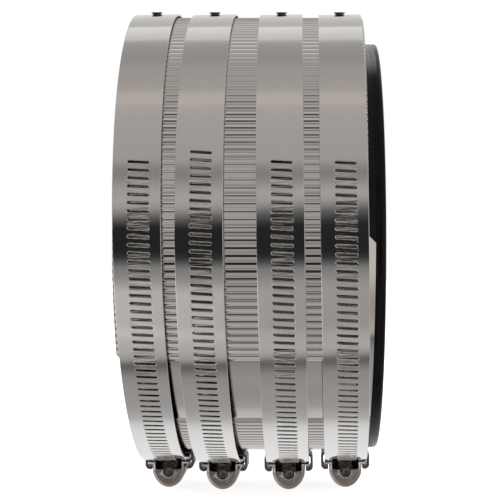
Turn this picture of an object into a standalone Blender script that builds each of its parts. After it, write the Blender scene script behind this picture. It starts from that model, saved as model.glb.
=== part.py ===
"""No-hub pipe coupling: a rubber sleeve inside a corrugated steel shield, held by four worm drive clamps.

The coupling's axis runs along X. It stands on the four clamp housings, with the sleeve lying at the
bottom of the shield and the slack clamps hanging from their rivets, as a coupling does before it is
tightened. The origin is on the surface it stands on, under the middle of the whole coupling.
Lengths are in metres and angles in radians. Around the axis, 0 faces -Y, a quarter turn is the top.
"""

from math import asin, ceil, cos, floor, pi, radians, sin, tau

import bmesh
import bpy
from mathutils import Euler, Matrix, Vector

MM = 0.001
INCH = 0.0254

# Fit
SEAT_GAP = 0.3 * MM
RUNNING_GAP = 0.2 * MM

# Pipe that the coupling is made for
PIPE_DIAMETER = 134.6 * MM

# Rubber sleeve
SLEEVE_LENGTH = 3.0 * INCH
SLEEVE_STRETCH = 0.8 * MM
SLEEVE_WALL = 3.7 * MM
SLEEVE_SHIFT = 5.6 * MM
SLEEVE_RIM = 1.1 * MM
STOP_HEIGHT = 4.0 * MM
STOP_WIDTH = 3.2 * MM
SEAL_HEIGHT = 0.9 * MM
SEAL_WIDTH = 3.0 * MM
SEAL_SPACING = 11.0 * MM
SEALS_EACH_SIDE = 2
SLEEVE_FACETS = 32

# Corrugated shield: one sheet rolled past a full turn, with a plain tongue under its outer end
SHIELD_WIDTH = 3.0 * INCH
SHIELD_PLAY = 4.4 * MM
SHEET_THICKNESS = 0.25 * MM
RIB_HEIGHT = 0.45 * MM
OUTER_END = radians(-35.0)
RIB_COUNT = 188
RIB_PITCH = radians(1.8)
TONGUE_TURN = radians(56.0)
TONGUE_JOG = radians(1.8)
SHEET_SKEW = 2.3 * MM
CORNER_CUT = 2.2 * MM

# Clamp strap: 9/16 in wide on a shield of 3 in
BAND_WIDTH = SHIELD_WIDTH * 3.0 / 16.0
BAND_THICKNESS = 0.6 * MM
SLOT_PITCH = 2.48 * MM
SLOT_LENGTH = 6.5 * MM
SLOT_WIDTH = 0.95 * MM
SLOT_SLANT = radians(4.0)
SLOT_OFFSET = 0.5 * MM
LAP_RISE = 18.0 * MM
TAIL_MARGIN = 0.6 * MM

# Rivet that ties each clamp to the shield
RIVET_FLANGE_RADIUS = 1.9 * MM
RIVET_FLANGE_HEIGHT = 0.6 * MM
RIVET_SHANK_RADIUS = 1.0 * MM
RIVET_BORE_RADIUS = 0.5 * MM
RIVET_FACETS = 8
RIVET_ANGLE = radians(77.0)

# Worm screw
HEAD_ACROSS_FLATS = 5.0 / 16.0 * INCH
HEAD_HEIGHT = 5.4 * MM
HEAD_CHAMFER = 0.5 * MM
HEAD_SLOT_WIDTH = 1.2 * MM
HEAD_SLOT_DEPTH = 1.4 * MM
THREAD_RADIUS = 3.2 * MM
THREAD_DEPTH = 0.9 * MM
WORM_LENGTH = 10.0 * MM
NECK_RADIUS = 2.2 * MM
TIP_RADIUS = 2.1 * MM
SCREW_FACETS = 12
THREAD_ROWS_PER_TURN = 3

# Pressed housing over the screw
HOUSING_LENGTH = 16.0 * MM
HOUSING_RADIUS = 0.392 * BAND_WIDTH
HOUSING_WALL = 0.8 * MM
END_WALL_EDGE = 0.9 * MM
ARCH_FACETS = 9

# Saddle that folds round the strap and grips the housing's flanges
SADDLE_LENGTH = 10.0 * MM
SADDLE_THICKNESS = 0.8 * MM
SADDLE_SIDE_GAP = 0.5 * MM
SADDLE_BEND_RADIUS = 1.0 * MM
LIP_RADIUS = 1.05 * MM
LIP_TURN = radians(120.0)
BEND_FACETS = 2

# Each clamp's place along the axis, the slack in its loop, how far it has swung on its rivet
# away from upright and away from square, and how far above the axis its slots begin
OUTER_CLAMP_PLACE = (SHIELD_WIDTH - BAND_WIDTH) / 2.0
INNER_CLAMP_PLACE = 0.365 * OUTER_CLAMP_PLACE
OUTER_CLAMP_SLACK = 3.2 * MM
INNER_CLAMP_SLACK = 4.0 * MM
CLAMPS = (
    {"x": -OUTER_CLAMP_PLACE, "slack": OUTER_CLAMP_SLACK, "lean": 1.05, "swing": 0.5, "slots_from": 16.3},
    {"x": -INNER_CLAMP_PLACE, "slack": INNER_CLAMP_SLACK, "lean": 0.63, "swing": 1.3, "slots_from": 18.8},
    {"x": INNER_CLAMP_PLACE, "slack": INNER_CLAMP_SLACK, "lean": 0.82, "swing": 0.2, "slots_from": 16.5},
    {"x": OUTER_CLAMP_PLACE, "slack": OUTER_CLAMP_SLACK, "lean": 0.79, "swing": 0.9, "slots_from": 16.1},
)

# Sizes that follow from the ones above
SLEEVE_BORE_RADIUS = PIPE_DIAMETER / 2.0 - SLEEVE_STRETCH
SLEEVE_RADIUS = SLEEVE_BORE_RADIUS + SLEEVE_WALL
VALLEY_RADIUS = SLEEVE_RADIUS + SHIELD_PLAY
CREST_RADIUS = VALLEY_RADIUS + SHEET_THICKNESS + RIB_HEIGHT
TONGUE_RADIUS = VALLEY_RADIUS - SEAT_GAP - SHEET_THICKNESS
SCREW_RISE = THREAD_RADIUS + SEAT_GAP
HOUSING_HALF = HOUSING_LENGTH / 2.0
FLANGE_HALF = BAND_WIDTH / 2.0

BOTTOM = radians(90.0)
FULL_TURN = radians(360.0)
RIVET_TILT = radians(90.0) - RIVET_ANGLE


def on_circle(x, radius, angle):
    """A point at an angle round the axis: 0 faces -Y and a quarter turn is up."""
    return Vector((x, -radius * cos(angle), radius * sin(angle)))


def steps(start, stop, largest):
    """Evenly spaced values from start to stop, no further apart than largest, without the last."""
    count = max(1, ceil(abs(stop - start) / largest - 1e-6))
    return [start + (stop - start) * i / count for i in range(count)]


def smooth_step(value):
    """0 below 0, 1 above 1, and an even S between."""
    value = min(1.0, max(0.0, value))
    return value * value * (3.0 - 2.0 * value)


def finish_material(name, colour, roughness, metallic):
    """A plain Principled material."""
    material = bpy.data.materials.new(name)
    material.use_nodes = True
    shader = material.node_tree.nodes["Principled BSDF"]
    shader.inputs["Base Color"].default_value = (*colour, 1.0)
    shader.inputs["Roughness"].default_value = roughness
    shader.inputs["Metallic"].default_value = metallic
    return material


def closed_mesh(name, bm, smooth_angle=radians(30.0)):
    """The bmesh as a mesh, with its faces pointing out and its round faces smooth."""
    bmesh.ops.recalc_face_normals(bm, faces=bm.faces)
    mesh = bpy.data.meshes.new(name)
    bm.to_mesh(mesh)
    bm.free()
    mesh.shade_smooth()
    mesh.set_sharp_from_angle(angle=smooth_angle)
    return mesh


def place(name, mesh, material, parent, location=(0.0, 0.0, 0.0)):
    """An object for the mesh, in the scene, with its material and its parent."""
    piece = bpy.data.objects.new(name, mesh)
    bpy.context.scene.collection.objects.link(piece)
    if material.name not in mesh.materials:
        mesh.materials.append(material)
    piece.parent = parent
    piece.location = location
    return piece


def carrier(name, parent=None, location=(0.0, 0.0, 0.0), rotation=(0.0, 0.0, 0.0)):
    """An empty that carries pieces."""
    empty = bpy.data.objects.new(name, None)
    bpy.context.scene.collection.objects.link(empty)
    empty.parent = parent
    empty.location = location
    empty.rotation_euler = Euler(rotation)
    return empty


def cut_mesh(mesh, cutters):
    """The mesh with each cutter's mesh taken out of it."""
    body = bpy.data.objects.new("body", mesh)
    bpy.context.scene.collection.objects.link(body)
    tools = []
    for number, cutter in enumerate(cutters):
        tool = bpy.data.objects.new(f"cutter_{number}", cutter)
        bpy.context.scene.collection.objects.link(tool)
        tool.hide_render = True
        tool.display_type = "WIRE"
        modifier = body.modifiers.new(f"cut_{number}", "BOOLEAN")
        modifier.operation = "DIFFERENCE"
        modifier.solver = "EXACT"
        modifier.object = tool
        tools.append(tool)
    evaluated = body.evaluated_get(bpy.context.evaluated_depsgraph_get())
    result = bpy.data.meshes.new_from_object(evaluated)
    for used in [body, *tools]:
        bpy.data.objects.remove(used, do_unlink=True)
    return result


def rolled_sheet(name, stations, surface, holes):
    """A sheet laid along stations of (turn, left edge, right edge) and bent to a surface.

    surface(turn, x, face) gives a point of the inner face, 0, or the outer face, 1. holes gives, by
    the number of the cell between two stations, a hole's outline as (turn, x) points, a multiple of
    four of them, from the cell's first corner round to its last.
    """
    bm = bmesh.new()
    rows = []
    for turn, left, right in stations:
        row = [[bm.verts.new(surface(turn, x, face)) for x in (left, right)] for face in (0, 1)]
        rows.append(row)
    for number, (here, after) in enumerate(zip(rows, rows[1:])):
        outline = holes.get(number, ())
        rims = [[bm.verts.new(surface(turn, x, face)) for turn, x in outline] for face in (0, 1)]
        for face in (0, 1):
            corners = [here[face][0], here[face][1], after[face][1], after[face][0]]
            if outline:
                ring_faces(bm, corners, rims[face])
            else:
                bm.faces.new(corners)
        for edge in (0, 1):
            bm.faces.new([here[0][edge], after[0][edge], after[1][edge], here[1][edge]])
        count = len(outline)
        for i in range(count):
            j = (i + 1) % count
            bm.faces.new([rims[0][i], rims[0][j], rims[1][j], rims[1][i]])
    for end in (rows[0], rows[-1]):
        bm.faces.new([end[0][0], end[0][1], end[1][1], end[1][0]])
    return closed_mesh(name, bm)


def ring_faces(bm, corners, rim):
    """Four faces between a cell's corners and the rim of the hole in it."""
    share = len(rim) // 4
    for i in range(4):
        arc = [rim[(i * share + j) % len(rim)] for j in range(share + 1)]
        bm.faces.new([corners[i], corners[(i + 1) % 4], *reversed(arc)])


def lofted(bm, rings, closed):
    """Faces between rings of equal count; open ends are capped unless the rings close on themselves."""
    count = len(rings[0])
    pairs = list(zip(rings, rings[1:]))
    if closed:
        pairs.append((rings[-1], rings[0]))
    for here, after in pairs:
        for i in range(count):
            j = (i + 1) % count
            bm.faces.new([here[i], here[j], after[j], after[i]])
    if not closed:
        bm.faces.new(rings[0])
        bm.faces.new(rings[-1])


def turned_ring(name, profile, facets, point):
    """A closed profile of (along, radius) turned round an axis; point(along, radius, angle) places it."""
    bm = bmesh.new()
    rings = []
    for along, radius in profile:
        ring = [bm.verts.new(point(along, radius, tau * i / facets)) for i in range(facets)]
        rings.append(ring)
    lofted(bm, rings, closed=True)
    return closed_mesh(name, bm)


def extruded(name, section, start, stop):
    """A closed section of (x, z) points drawn out along Y."""
    bm = bmesh.new()
    rings = [[bm.verts.new((x, y, z)) for x, z in section] for y in (start, stop)]
    lofted(bm, rings, closed=False)
    return closed_mesh(name, bm)


def turned_bar(name, rings):
    """A solid bar along Y made of rings of (y, outline), each outline a list of (x, z) points."""
    bm = bmesh.new()
    loops = [[bm.verts.new((x, y, z)) for x, z in outline] for y, outline in rings]
    lofted(bm, loops, closed=False)
    return closed_mesh(name, bm)


def sleeve_profile():
    """The rubber sleeve's wall: rounded rims, sealing ribs in the bore and the stop between the pipes."""
    half = SLEEVE_LENGTH / 2.0
    stop = STOP_WIDTH / 2.0
    bore = [(stop, SLEEVE_BORE_RADIUS - STOP_HEIGHT), (stop, SLEEVE_BORE_RADIUS)]
    for number in range(SEALS_EACH_SIDE):
        middle = stop + SEAL_SPACING * (number + 1)
        bore.append((middle - SEAL_WIDTH / 2.0, SLEEVE_BORE_RADIUS))
        bore.append((middle, SLEEVE_BORE_RADIUS - SEAL_HEIGHT))
        bore.append((middle + SEAL_WIDTH / 2.0, SLEEVE_BORE_RADIUS))
    bore.append((half, SLEEVE_BORE_RADIUS))
    outside = [(half, SLEEVE_RADIUS - SLEEVE_RIM), (half - SLEEVE_RIM, SLEEVE_RADIUS)]
    right = bore + outside
    left = [(-along, radius) for along, radius in reversed(right)]
    return right + left


def make_sleeve(parent, rubber):
    """The sleeve, lying at the bottom of the shield."""
    mesh = turned_ring("gasket", sleeve_profile(), SLEEVE_FACETS, on_circle)
    drop = VALLEY_RADIUS - SLEEVE_RADIUS - SEAT_GAP
    return place("gasket", mesh, rubber, parent, (SLEEVE_SHIFT, 0.0, -drop))


def shield_stations():
    """The shield's turns, each with its edges: a crest or a valley at a time, then the plain tongue."""
    turns = [OUTER_END + RIB_PITCH / 2.0 * i for i in range(2 * RIB_COUNT + 1)]
    tongue_end = turns[-1] + TONGUE_TURN
    turns += steps(turns[-1] + TONGUE_JOG, tongue_end, 2.0 * RIB_PITCH) + [tongue_end]
    stations = []
    for turn in turns:
        along = (turn - turns[0]) / FULL_TURN * SHEET_SKEW
        to_end = min(turn - turns[0], turns[-1] - turn) * CREST_RADIUS
        cut = max(0.0, CORNER_CUT - to_end)
        stations.append((turn, along + cut - SHIELD_WIDTH / 2.0, along - cut + SHIELD_WIDTH / 2.0))
    return stations


def sheet_radius(turn):
    """The sheet's inner face: the wave of its ribs, or the plain tongue that lies under them."""
    ribs_along = (turn - OUTER_END) / RIB_PITCH
    if ribs_along > RIB_COUNT + 0.5:
        return TONGUE_RADIUS
    return VALLEY_RADIUS + RIB_HEIGHT * (1.0 - abs(2.0 * (ribs_along % 1.0) - 1.0))


def make_shield(parent, steel):
    """The corrugated sheet, with a hole for each clamp's rivet."""

    def surface(turn, x, face):
        return on_circle(x, sheet_radius(turn) + SHEET_THICKNESS * face, turn)

    sheet = rolled_sheet("shield_sheet", shield_stations(), surface, {})
    drills = []
    for clamp in CLAMPS:
        radius = RIVET_SHANK_RADIUS + SEAT_GAP
        outline = [(radius * cos(tau * i / 8), radius * sin(tau * i / 8)) for i in range(8)]
        bm = bmesh.new()
        heights = (VALLEY_RADIUS - RIB_HEIGHT * 2.0, CREST_RADIUS + RIB_HEIGHT * 2.0)
        rings = [[bm.verts.new((clamp["x"] + x, y, z)) for x, y in outline] for z in heights]
        lofted(bm, rings, closed=False)
        drill = closed_mesh("drill", bm)
        drill.transform(Matrix.Rotation(RIVET_TILT, 4, "X"))
        drills.append(drill)
    mesh = cut_mesh(sheet, drills)
    return place("shield", mesh, steel, parent)


def strap_stations(loop_radius, slots_from):
    """The strap's turns from its fixed end, round the loop and back through the housing, and its holes."""
    half = BAND_WIDTH / 2.0
    inside_housing = (HOUSING_HALF - HOUSING_WALL - TAIL_MARGIN) / loop_radius
    hole_half = (RIVET_SHANK_RADIUS + SEAT_GAP) * 2.0 / loop_radius
    rivet = rivet_turn(loop_radius)
    pitch = SLOT_PITCH / loop_radius
    first_slot = FULL_TURN - radians(slots_from)
    tail_end = FULL_TURN + BOTTOM + inside_housing
    slots = floor((tail_end - first_slot - SLOT_WIDTH / loop_radius) / pitch)
    lap_end = BOTTOM + (HOUSING_HALF + LAP_RISE) / loop_radius

    turns = steps(BOTTOM - inside_housing, BOTTOM + HOUSING_HALF / loop_radius, radians(6.0))
    turns += steps(BOTTOM + HOUSING_HALF / loop_radius, lap_end, radians(4.0))
    turns += steps(lap_end, rivet - hole_half, radians(6.0))
    rivet_cell = len(turns)
    turns += [rivet - hole_half]
    turns += steps(rivet + hole_half, first_slot - pitch / 2.0, radians(6.0))
    first_cell = len(turns)
    turns += [first_slot + pitch * (i - 0.5) for i in range(slots + 1)]
    turns += [tail_end]

    holes = {rivet_cell: rivet_hole(loop_radius)}
    for number in range(slots):
        holes[first_cell + number] = slot_outline(first_slot + pitch * number, loop_radius)
    return [(turn, -half, half) for turn in turns], holes


def rivet_turn(loop_radius):
    """The strap's turn at its rivet, round the loop's own middle, which hangs below the shield's."""
    drop = loop_radius - CREST_RADIUS - SEAT_GAP
    return FULL_TURN - RIVET_ANGLE - asin(drop * cos(RIVET_ANGLE) / loop_radius)


def rivet_hole(loop_radius):
    """The hole in the strap that its rivet passes through."""
    radius = RIVET_SHANK_RADIUS + SEAT_GAP
    rivet = rivet_turn(loop_radius)
    angles = [tau * (i + 0.5) / 8 - radians(157.5) for i in range(8)]
    return [(rivet + radius * sin(angle) / loop_radius, radius * cos(angle)) for angle in angles]


def slot_outline(turn, loop_radius):
    """One slanting slot, its left end higher than its right, as (turn, x) points."""
    outline = []
    for along, across in ((-1, -1), (1, -1), (1, 1), (-1, 1)):
        x = along * SLOT_LENGTH / 2.0
        arc = across * SLOT_WIDTH / 2.0 + x * SLOT_SLANT
        outline.append((turn + arc / loop_radius, SLOT_OFFSET + x))
    return outline


def make_strap(number, clamp, parent, steel):
    """The slotted strap, rolled to a loop whose fixed end lies under the slotted one in the housing."""
    loop_radius = loop_radius_of(clamp)
    stations, holes = strap_stations(loop_radius, clamp["slots_from"])
    overlap = BAND_THICKNESS + SEAT_GAP
    lap_start = BOTTOM + HOUSING_HALF / loop_radius

    def surface(turn, x, face):
        risen = smooth_step((turn - lap_start) * loop_radius / LAP_RISE)
        radius = loop_radius - overlap * (1.0 - risen) + BAND_THICKNESS * face
        return on_circle(x, radius, -turn)

    mesh = rolled_sheet(f"band_{number}", stations, surface, holes)
    return place(f"band_{number}", mesh, steel, parent, (0.0, 0.0, -loop_radius))


def loop_radius_of(clamp):
    """The inner radius of a clamp's loop, from the slack it has round the shield."""
    return CREST_RADIUS + clamp["slack"] / 2.0


def arc_points(radius, centre, start, stop, facets):
    """Points of an arc whose facets touch the circle."""
    reach = radius / cos((stop - start) / facets / 2.0)
    angles = [start + (stop - start) * i / facets for i in range(facets + 1)]
    return [(centre[0] + reach * cos(angle), centre[1] + reach * sin(angle)) for angle in angles]


def housing_mesh():
    """The pressed housing: flanges, an arch over the screw, and an end wall with a hole or a notch.

    Its z is 0 at the strap's outer face and falls away from the strap.
    """
    low = -SEAT_GAP
    flange_top = low - HOUSING_WALL
    inner = HOUSING_RADIUS - HOUSING_WALL
    axis = (0.0, -SCREW_RISE)
    arch = arc_points(HOUSING_RADIUS, axis, tau / 2.0, tau, ARCH_FACETS)
    block = [(-FLANGE_HALF, low), (-FLANGE_HALF, flange_top), (-HOUSING_RADIUS, flange_top)]
    block += arch[1:-1]
    block += [(HOUSING_RADIUS, flange_top), (FLANGE_HALF, flange_top), (FLANGE_HALF, low)]
    body = extruded("housing_block", block, -HOUSING_HALF, HOUSING_HALF)

    above = SEAT_GAP
    cavity = [(-inner, above)]
    cavity += arc_points(inner, axis, tau / 2.0, tau, ARCH_FACETS)[1:-1]
    cavity += [(inner, above)]
    wall_inside = HOUSING_HALF - HOUSING_WALL
    hollow = extruded("hollow", cavity, -wall_inside, wall_inside)
    mouth = [(-inner, above), (-inner, -END_WALL_EDGE), (inner, -END_WALL_EDGE), (inner, above)]
    past = HOUSING_HALF + HOUSING_WALL
    doorway = extruded("doorway", mouth, -past, past)

    hole_radius = TIP_RADIUS + RUNNING_GAP
    hole = arc_points(hole_radius, axis, 0.0, tau, SCREW_FACETS)[:-1]
    tip_hole = extruded("tip_hole", hole, -past, 0.0)
    notch_radius = NECK_RADIUS + RUNNING_GAP
    notch = arc_points(notch_radius, axis, tau / 2.0, tau, SCREW_FACETS // 2)
    notch += [(notch[-1][0], above), (notch[0][0], above)]
    neck_notch = extruded("neck_notch", notch, 0.0, past)
    return cut_mesh(body, [hollow, doorway, tip_hole, neck_notch])


def ribbon_section(points, thickness):
    """The closed outline of a strip of one thickness that follows a line of points."""
    sides = ([], [])
    count = len(points)
    for i, point in enumerate(points):
        before = Vector(points[max(i - 1, 0)])
        after = Vector(points[min(i + 1, count - 1)])
        here = Vector(point)
        incoming = (here - before).normalized() if i > 0 else (after - here).normalized()
        outgoing = (after - here).normalized() if i < count - 1 else incoming
        normal = Vector((-incoming.y, incoming.x))
        turned = Vector((-outgoing.y, outgoing.x))
        mitre = (normal + turned).normalized()
        reach = thickness / 2.0 / max(0.2, mitre.dot(normal))
        sides[0].append(tuple(here + mitre * reach))
        sides[1].append(tuple(here - mitre * reach))
    return sides[0] + sides[1][::-1]


def saddle_mesh(loop_radius):
    """The saddle: a base inside the strap, two sides past its edges, and lips curled over the flanges."""
    half_thickness = SADDLE_THICKNESS / 2.0
    curve_rise = (SADDLE_LENGTH / 2.0) ** 2 / (2.0 * loop_radius)
    layers = 2.0 * BAND_THICKNESS + 2.0 * SEAT_GAP
    base = layers + curve_rise + half_thickness
    side = BAND_WIDTH / 2.0 + SADDLE_SIDE_GAP + half_thickness
    lip_height = -(SEAT_GAP + HOUSING_WALL + SEAT_GAP + half_thickness - LIP_RADIUS / 2.0)
    bend = (side - SADDLE_BEND_RADIUS, base - SADDLE_BEND_RADIUS)
    corner = [
        (bend[0] + SADDLE_BEND_RADIUS * sin(turn), bend[1] + SADDLE_BEND_RADIUS * cos(turn))
        for turn in [pi / 2.0 * i / BEND_FACETS for i in range(BEND_FACETS + 1)]
    ]
    lip_facets = 2 * BEND_FACETS
    lip = [
        (side - LIP_RADIUS + LIP_RADIUS * cos(turn), lip_height - LIP_RADIUS * sin(turn))
        for turn in [LIP_TURN * i / lip_facets for i in range(lip_facets + 1)]
    ]
    right = corner + lip
    left = [(-x, z) for x, z in reversed(right)]
    section = ribbon_section(left + right, SADDLE_THICKNESS)
    return extruded("saddle", section, -SADDLE_LENGTH / 2.0, SADDLE_LENGTH / 2.0)


def round_outline(radius):
    """A circle of as many points as the screw has facets."""
    angles = [tau * i / SCREW_FACETS for i in range(SCREW_FACETS)]
    return [(radius * cos(angle), radius * sin(angle)) for angle in angles]


def hexagon_outline(across_flats):
    """A hexagon with a point at each corner and in the middle of each side."""
    flat = across_flats / 2.0
    corner = flat / cos(pi / 6.0)
    outline = []
    for i in range(SCREW_FACETS):
        radius = corner if i % 2 == 0 else flat
        outline.append((radius * cos(tau * i / SCREW_FACETS), radius * sin(tau * i / SCREW_FACETS)))
    return outline


def thread_outline(y, start, stop):
    """The worm at one place along it: a ridge that climbs one slot pitch a turn and fades at its ends."""
    outline = []
    fade = min(1.0, (y - start) / SLOT_PITCH * 2.0, (stop - y) / SLOT_PITCH * 2.0)
    for i in range(SCREW_FACETS):
        phase = (y / SLOT_PITCH - i / SCREW_FACETS) % 1.0
        ridge = 1.0 - abs(2.0 * phase - 1.0)
        radius = THREAD_RADIUS - THREAD_DEPTH * (1.0 - min(1.0, 1.5 * ridge) * fade)
        angle = tau * i / SCREW_FACETS
        outline.append((radius * cos(angle), radius * sin(angle)))
    return outline


def screw_mesh():
    """The worm screw: tip, worm, neck and a slotted hexagon head, along Y with the head at +Y."""
    wall_inside = HOUSING_HALF - HOUSING_WALL
    worm_start = -wall_inside + SEAT_GAP
    worm_stop = worm_start + WORM_LENGTH
    head_start = HOUSING_HALF + SEAT_GAP
    head_stop = head_start + HEAD_HEIGHT
    rings = [(-HOUSING_HALF, round_outline(TIP_RADIUS)), (worm_start, round_outline(TIP_RADIUS))]
    row = SLOT_PITCH / THREAD_ROWS_PER_TURN
    for y in steps(worm_start + row / 4.0, worm_stop, row):
        rings.append((y, thread_outline(y, worm_start, worm_stop)))
    rings += [(worm_stop, round_outline(NECK_RADIUS)), (head_start, round_outline(NECK_RADIUS))]
    rings += [(head_start, hexagon_outline(HEAD_ACROSS_FLATS))]
    rings += [(head_stop - HEAD_CHAMFER, hexagon_outline(HEAD_ACROSS_FLATS))]
    rings += [(head_stop, round_outline(HEAD_ACROSS_FLATS / 2.0 - HEAD_CHAMFER / 2.0))]
    bar = turned_bar("screw_bar", rings)
    half = HEAD_SLOT_WIDTH / 2.0
    reach = HEAD_ACROSS_FLATS
    groove = [(-reach, -half), (reach, -half), (reach, half), (-reach, half)]
    driver_slot = extruded("driver_slot", groove, head_stop - HEAD_SLOT_DEPTH, head_stop + HEAD_SLOT_DEPTH)
    return cut_mesh(bar, [driver_slot])


def rivet_mesh():
    """The hollow rivet, with z from the middle of its seat: the shield's crests."""
    band_top = SEAT_GAP + BAND_THICKNESS + SEAT_GAP
    shield_under = -(RIB_HEIGHT + SHEET_THICKNESS + SEAT_GAP)
    top = band_top + RIVET_FLANGE_HEIGHT
    under = shield_under - RIVET_FLANGE_HEIGHT
    lip = RIVET_FLANGE_HEIGHT / 2.0
    profile = [
        (under, RIVET_BORE_RADIUS),
        (under, RIVET_FLANGE_RADIUS),
        (shield_under, RIVET_FLANGE_RADIUS),
        (shield_under, RIVET_SHANK_RADIUS),
        (band_top, RIVET_SHANK_RADIUS),
        (band_top, RIVET_FLANGE_RADIUS),
        (top - lip, RIVET_FLANGE_RADIUS),
        (top, RIVET_FLANGE_RADIUS - lip),
        (top, RIVET_BORE_RADIUS),
    ]

    def upright(along, radius, angle):
        return Vector((radius * cos(angle), radius * sin(angle), along))

    return turned_ring("rivet", profile, RIVET_FACETS, upright)


def make_clamp(number, clamp, coupling, finishes, shared):
    """One clamp: its strap, saddle, housing and screw on a carrier that hangs from the rivet."""
    seat = carrier(f"rivet_seat_{number}", coupling, (0.0, 0.0, 0.0), (RIVET_TILT, 0.0, 0.0))
    place(f"eyelet_{number}", shared["rivet"], finishes["rivet"], seat, (clamp["x"], 0.0, CREST_RADIUS))
    pivot = on_circle(clamp["x"], CREST_RADIUS + SEAT_GAP, RIVET_ANGLE)
    turned = (0.0, radians(-clamp["lean"]), radians(-clamp["swing"]))
    swung = carrier(f"clamp_{number}", coupling, pivot, turned)
    top = Vector((clamp["x"], 0.0, CREST_RADIUS + SEAT_GAP))
    hanger = carrier(f"clamp_top_{number}", swung, top - Vector(pivot))
    make_strap(number, clamp, hanger, finishes["strap"])
    loop_radius = loop_radius_of(clamp)
    outer_face = -(2.0 * loop_radius + BAND_THICKNESS)
    saddle = saddle_mesh(loop_radius)
    place(f"saddle_{number}", saddle, finishes["fastener"], hanger, (0.0, 0.0, outer_face))
    place(f"housing_{number}", shared["housing"], finishes["fastener"], hanger, (0.0, 0.0, outer_face))
    axis = (0.0, 0.0, outer_face - SCREW_RISE)
    place(f"screw_{number}", shared["screw"], finishes["screw"], hanger, axis)


def world_box():
    """The lowest and highest corners of all pieces, as the viewport shows them."""
    bpy.context.view_layer.update()
    corners = []
    for piece in bpy.context.scene.objects:
        if piece.type == "MESH":
            corners += [piece.matrix_world @ vertex.co for vertex in piece.data.vertices]
    low = Vector([min(corner[i] for corner in corners) for i in range(3)])
    high = Vector([max(corner[i] for corner in corners) for i in range(3)])
    return low, high


def stand_on_housings(coupling):
    """Puts the lowest housing on z = 0, and the middle of the coupling over the origin."""
    low, high = world_box()
    coupling.location = (-(low.x + high.x) / 2.0, -(low.y + high.y) / 2.0, -low.z)
    bpy.context.view_layer.update()


def make_coupling():
    """The whole coupling on one carrier whose origin is the middle of the shield."""
    for old in list(bpy.data.objects):
        bpy.data.objects.remove(old, do_unlink=True)
    finishes = {
        "rubber": finish_material("black_rubber", (0.012, 0.012, 0.013), 0.55, 0.0),
        "shield": finish_material("corrugated_steel", (0.62, 0.61, 0.60), 0.30, 1.0),
        "strap": finish_material("polished_strap", (0.66, 0.65, 0.64), 0.22, 1.0),
        "fastener": finish_material("pressed_steel", (0.26, 0.24, 0.23), 0.35, 1.0),
        "screw": finish_material("plated_screw", (0.30, 0.28, 0.27), 0.35, 1.0),
        "rivet": finish_material("dark_rivet", (0.10, 0.095, 0.09), 0.40, 1.0),
    }
    shared = {"housing": housing_mesh(), "screw": screw_mesh(), "rivet": rivet_mesh()}
    coupling = carrier("coupling")
    make_sleeve(coupling, finishes["rubber"])
    make_shield(coupling, finishes["shield"])
    for number, clamp in enumerate(CLAMPS, start=1):
        make_clamp(number, clamp, coupling, finishes, shared)
    stand_on_housings(coupling)


make_coupling()
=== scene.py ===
from math import asin, ceil, cos, degrees, pi, radians, sin, tau

import bmesh
import bpy
from bpy.props import FloatProperty, FloatVectorProperty, PointerProperty
from bpy.types import Operator, Panel, PropertyGroup
from mathutils import Euler, Matrix, Vector
from mathutils.geometry import tessellate_polygon


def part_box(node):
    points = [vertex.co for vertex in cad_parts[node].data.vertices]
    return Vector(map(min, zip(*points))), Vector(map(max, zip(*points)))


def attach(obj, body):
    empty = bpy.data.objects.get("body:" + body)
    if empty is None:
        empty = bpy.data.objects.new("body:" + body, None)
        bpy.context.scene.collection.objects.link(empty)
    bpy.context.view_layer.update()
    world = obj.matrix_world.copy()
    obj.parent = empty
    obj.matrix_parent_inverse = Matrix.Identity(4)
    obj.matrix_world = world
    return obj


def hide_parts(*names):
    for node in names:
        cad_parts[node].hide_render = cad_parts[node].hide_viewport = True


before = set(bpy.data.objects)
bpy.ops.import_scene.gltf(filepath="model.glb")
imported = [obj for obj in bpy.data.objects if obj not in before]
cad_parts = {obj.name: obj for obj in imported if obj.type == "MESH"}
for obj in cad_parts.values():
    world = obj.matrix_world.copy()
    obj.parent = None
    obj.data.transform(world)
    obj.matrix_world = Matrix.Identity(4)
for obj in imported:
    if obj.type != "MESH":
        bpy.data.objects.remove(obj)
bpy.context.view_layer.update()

bl_info = {
    "name": "No-hub coupling",
    "version": (1, 0, 0),
    "blender": (4, 5, 0),
    "location": "3D View > Sidebar > Coupling",
    "description": "Makes the visible pieces, finishes and studio of a shielded no-hub pipe coupling",
    "category": "Add Mesh",
}

# Lengths are in metres and angles in radians. The coupling's axis runs along X; round it, 0 faces
# -Y and a quarter turn is the top. Each group of sizes begins with those of the CAD, so that each
# piece fits its node. The finer forms that only this script makes come after them.
MM = 0.001
SEAT_GAP = 0.3 * MM
RUNNING_GAP = 0.2 * MM
BOTTOM = radians(90.0)
MERGE = 0.002 * MM

# The rubber sleeve
SLEEVE_RADIUS = 70.2 * MM
SLEEVE_BORE_RADIUS = 66.5 * MM
SLEEVE_LENGTH = 76.2 * MM
SLEEVE_SHIFT = 5.6 * MM
SLEEVE_RIM = 1.1 * MM
STOP_HEIGHT = 4.0 * MM
STOP_WIDTH = 3.2 * MM
SEAL_HEIGHT = 0.9 * MM
SEAL_WIDTH = 3.0 * MM
SEAL_SPACING = 11.0 * MM
SEALS_EACH_SIDE = 2
# its grooves beside each rim: their distances from the end, half width and depth
SLEEVE_GROOVES = (2.4 * MM, 3.1 * MM)
GROOVE_HALF = 0.16 * MM
GROOVE_DEPTH = 0.07 * MM

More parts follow.
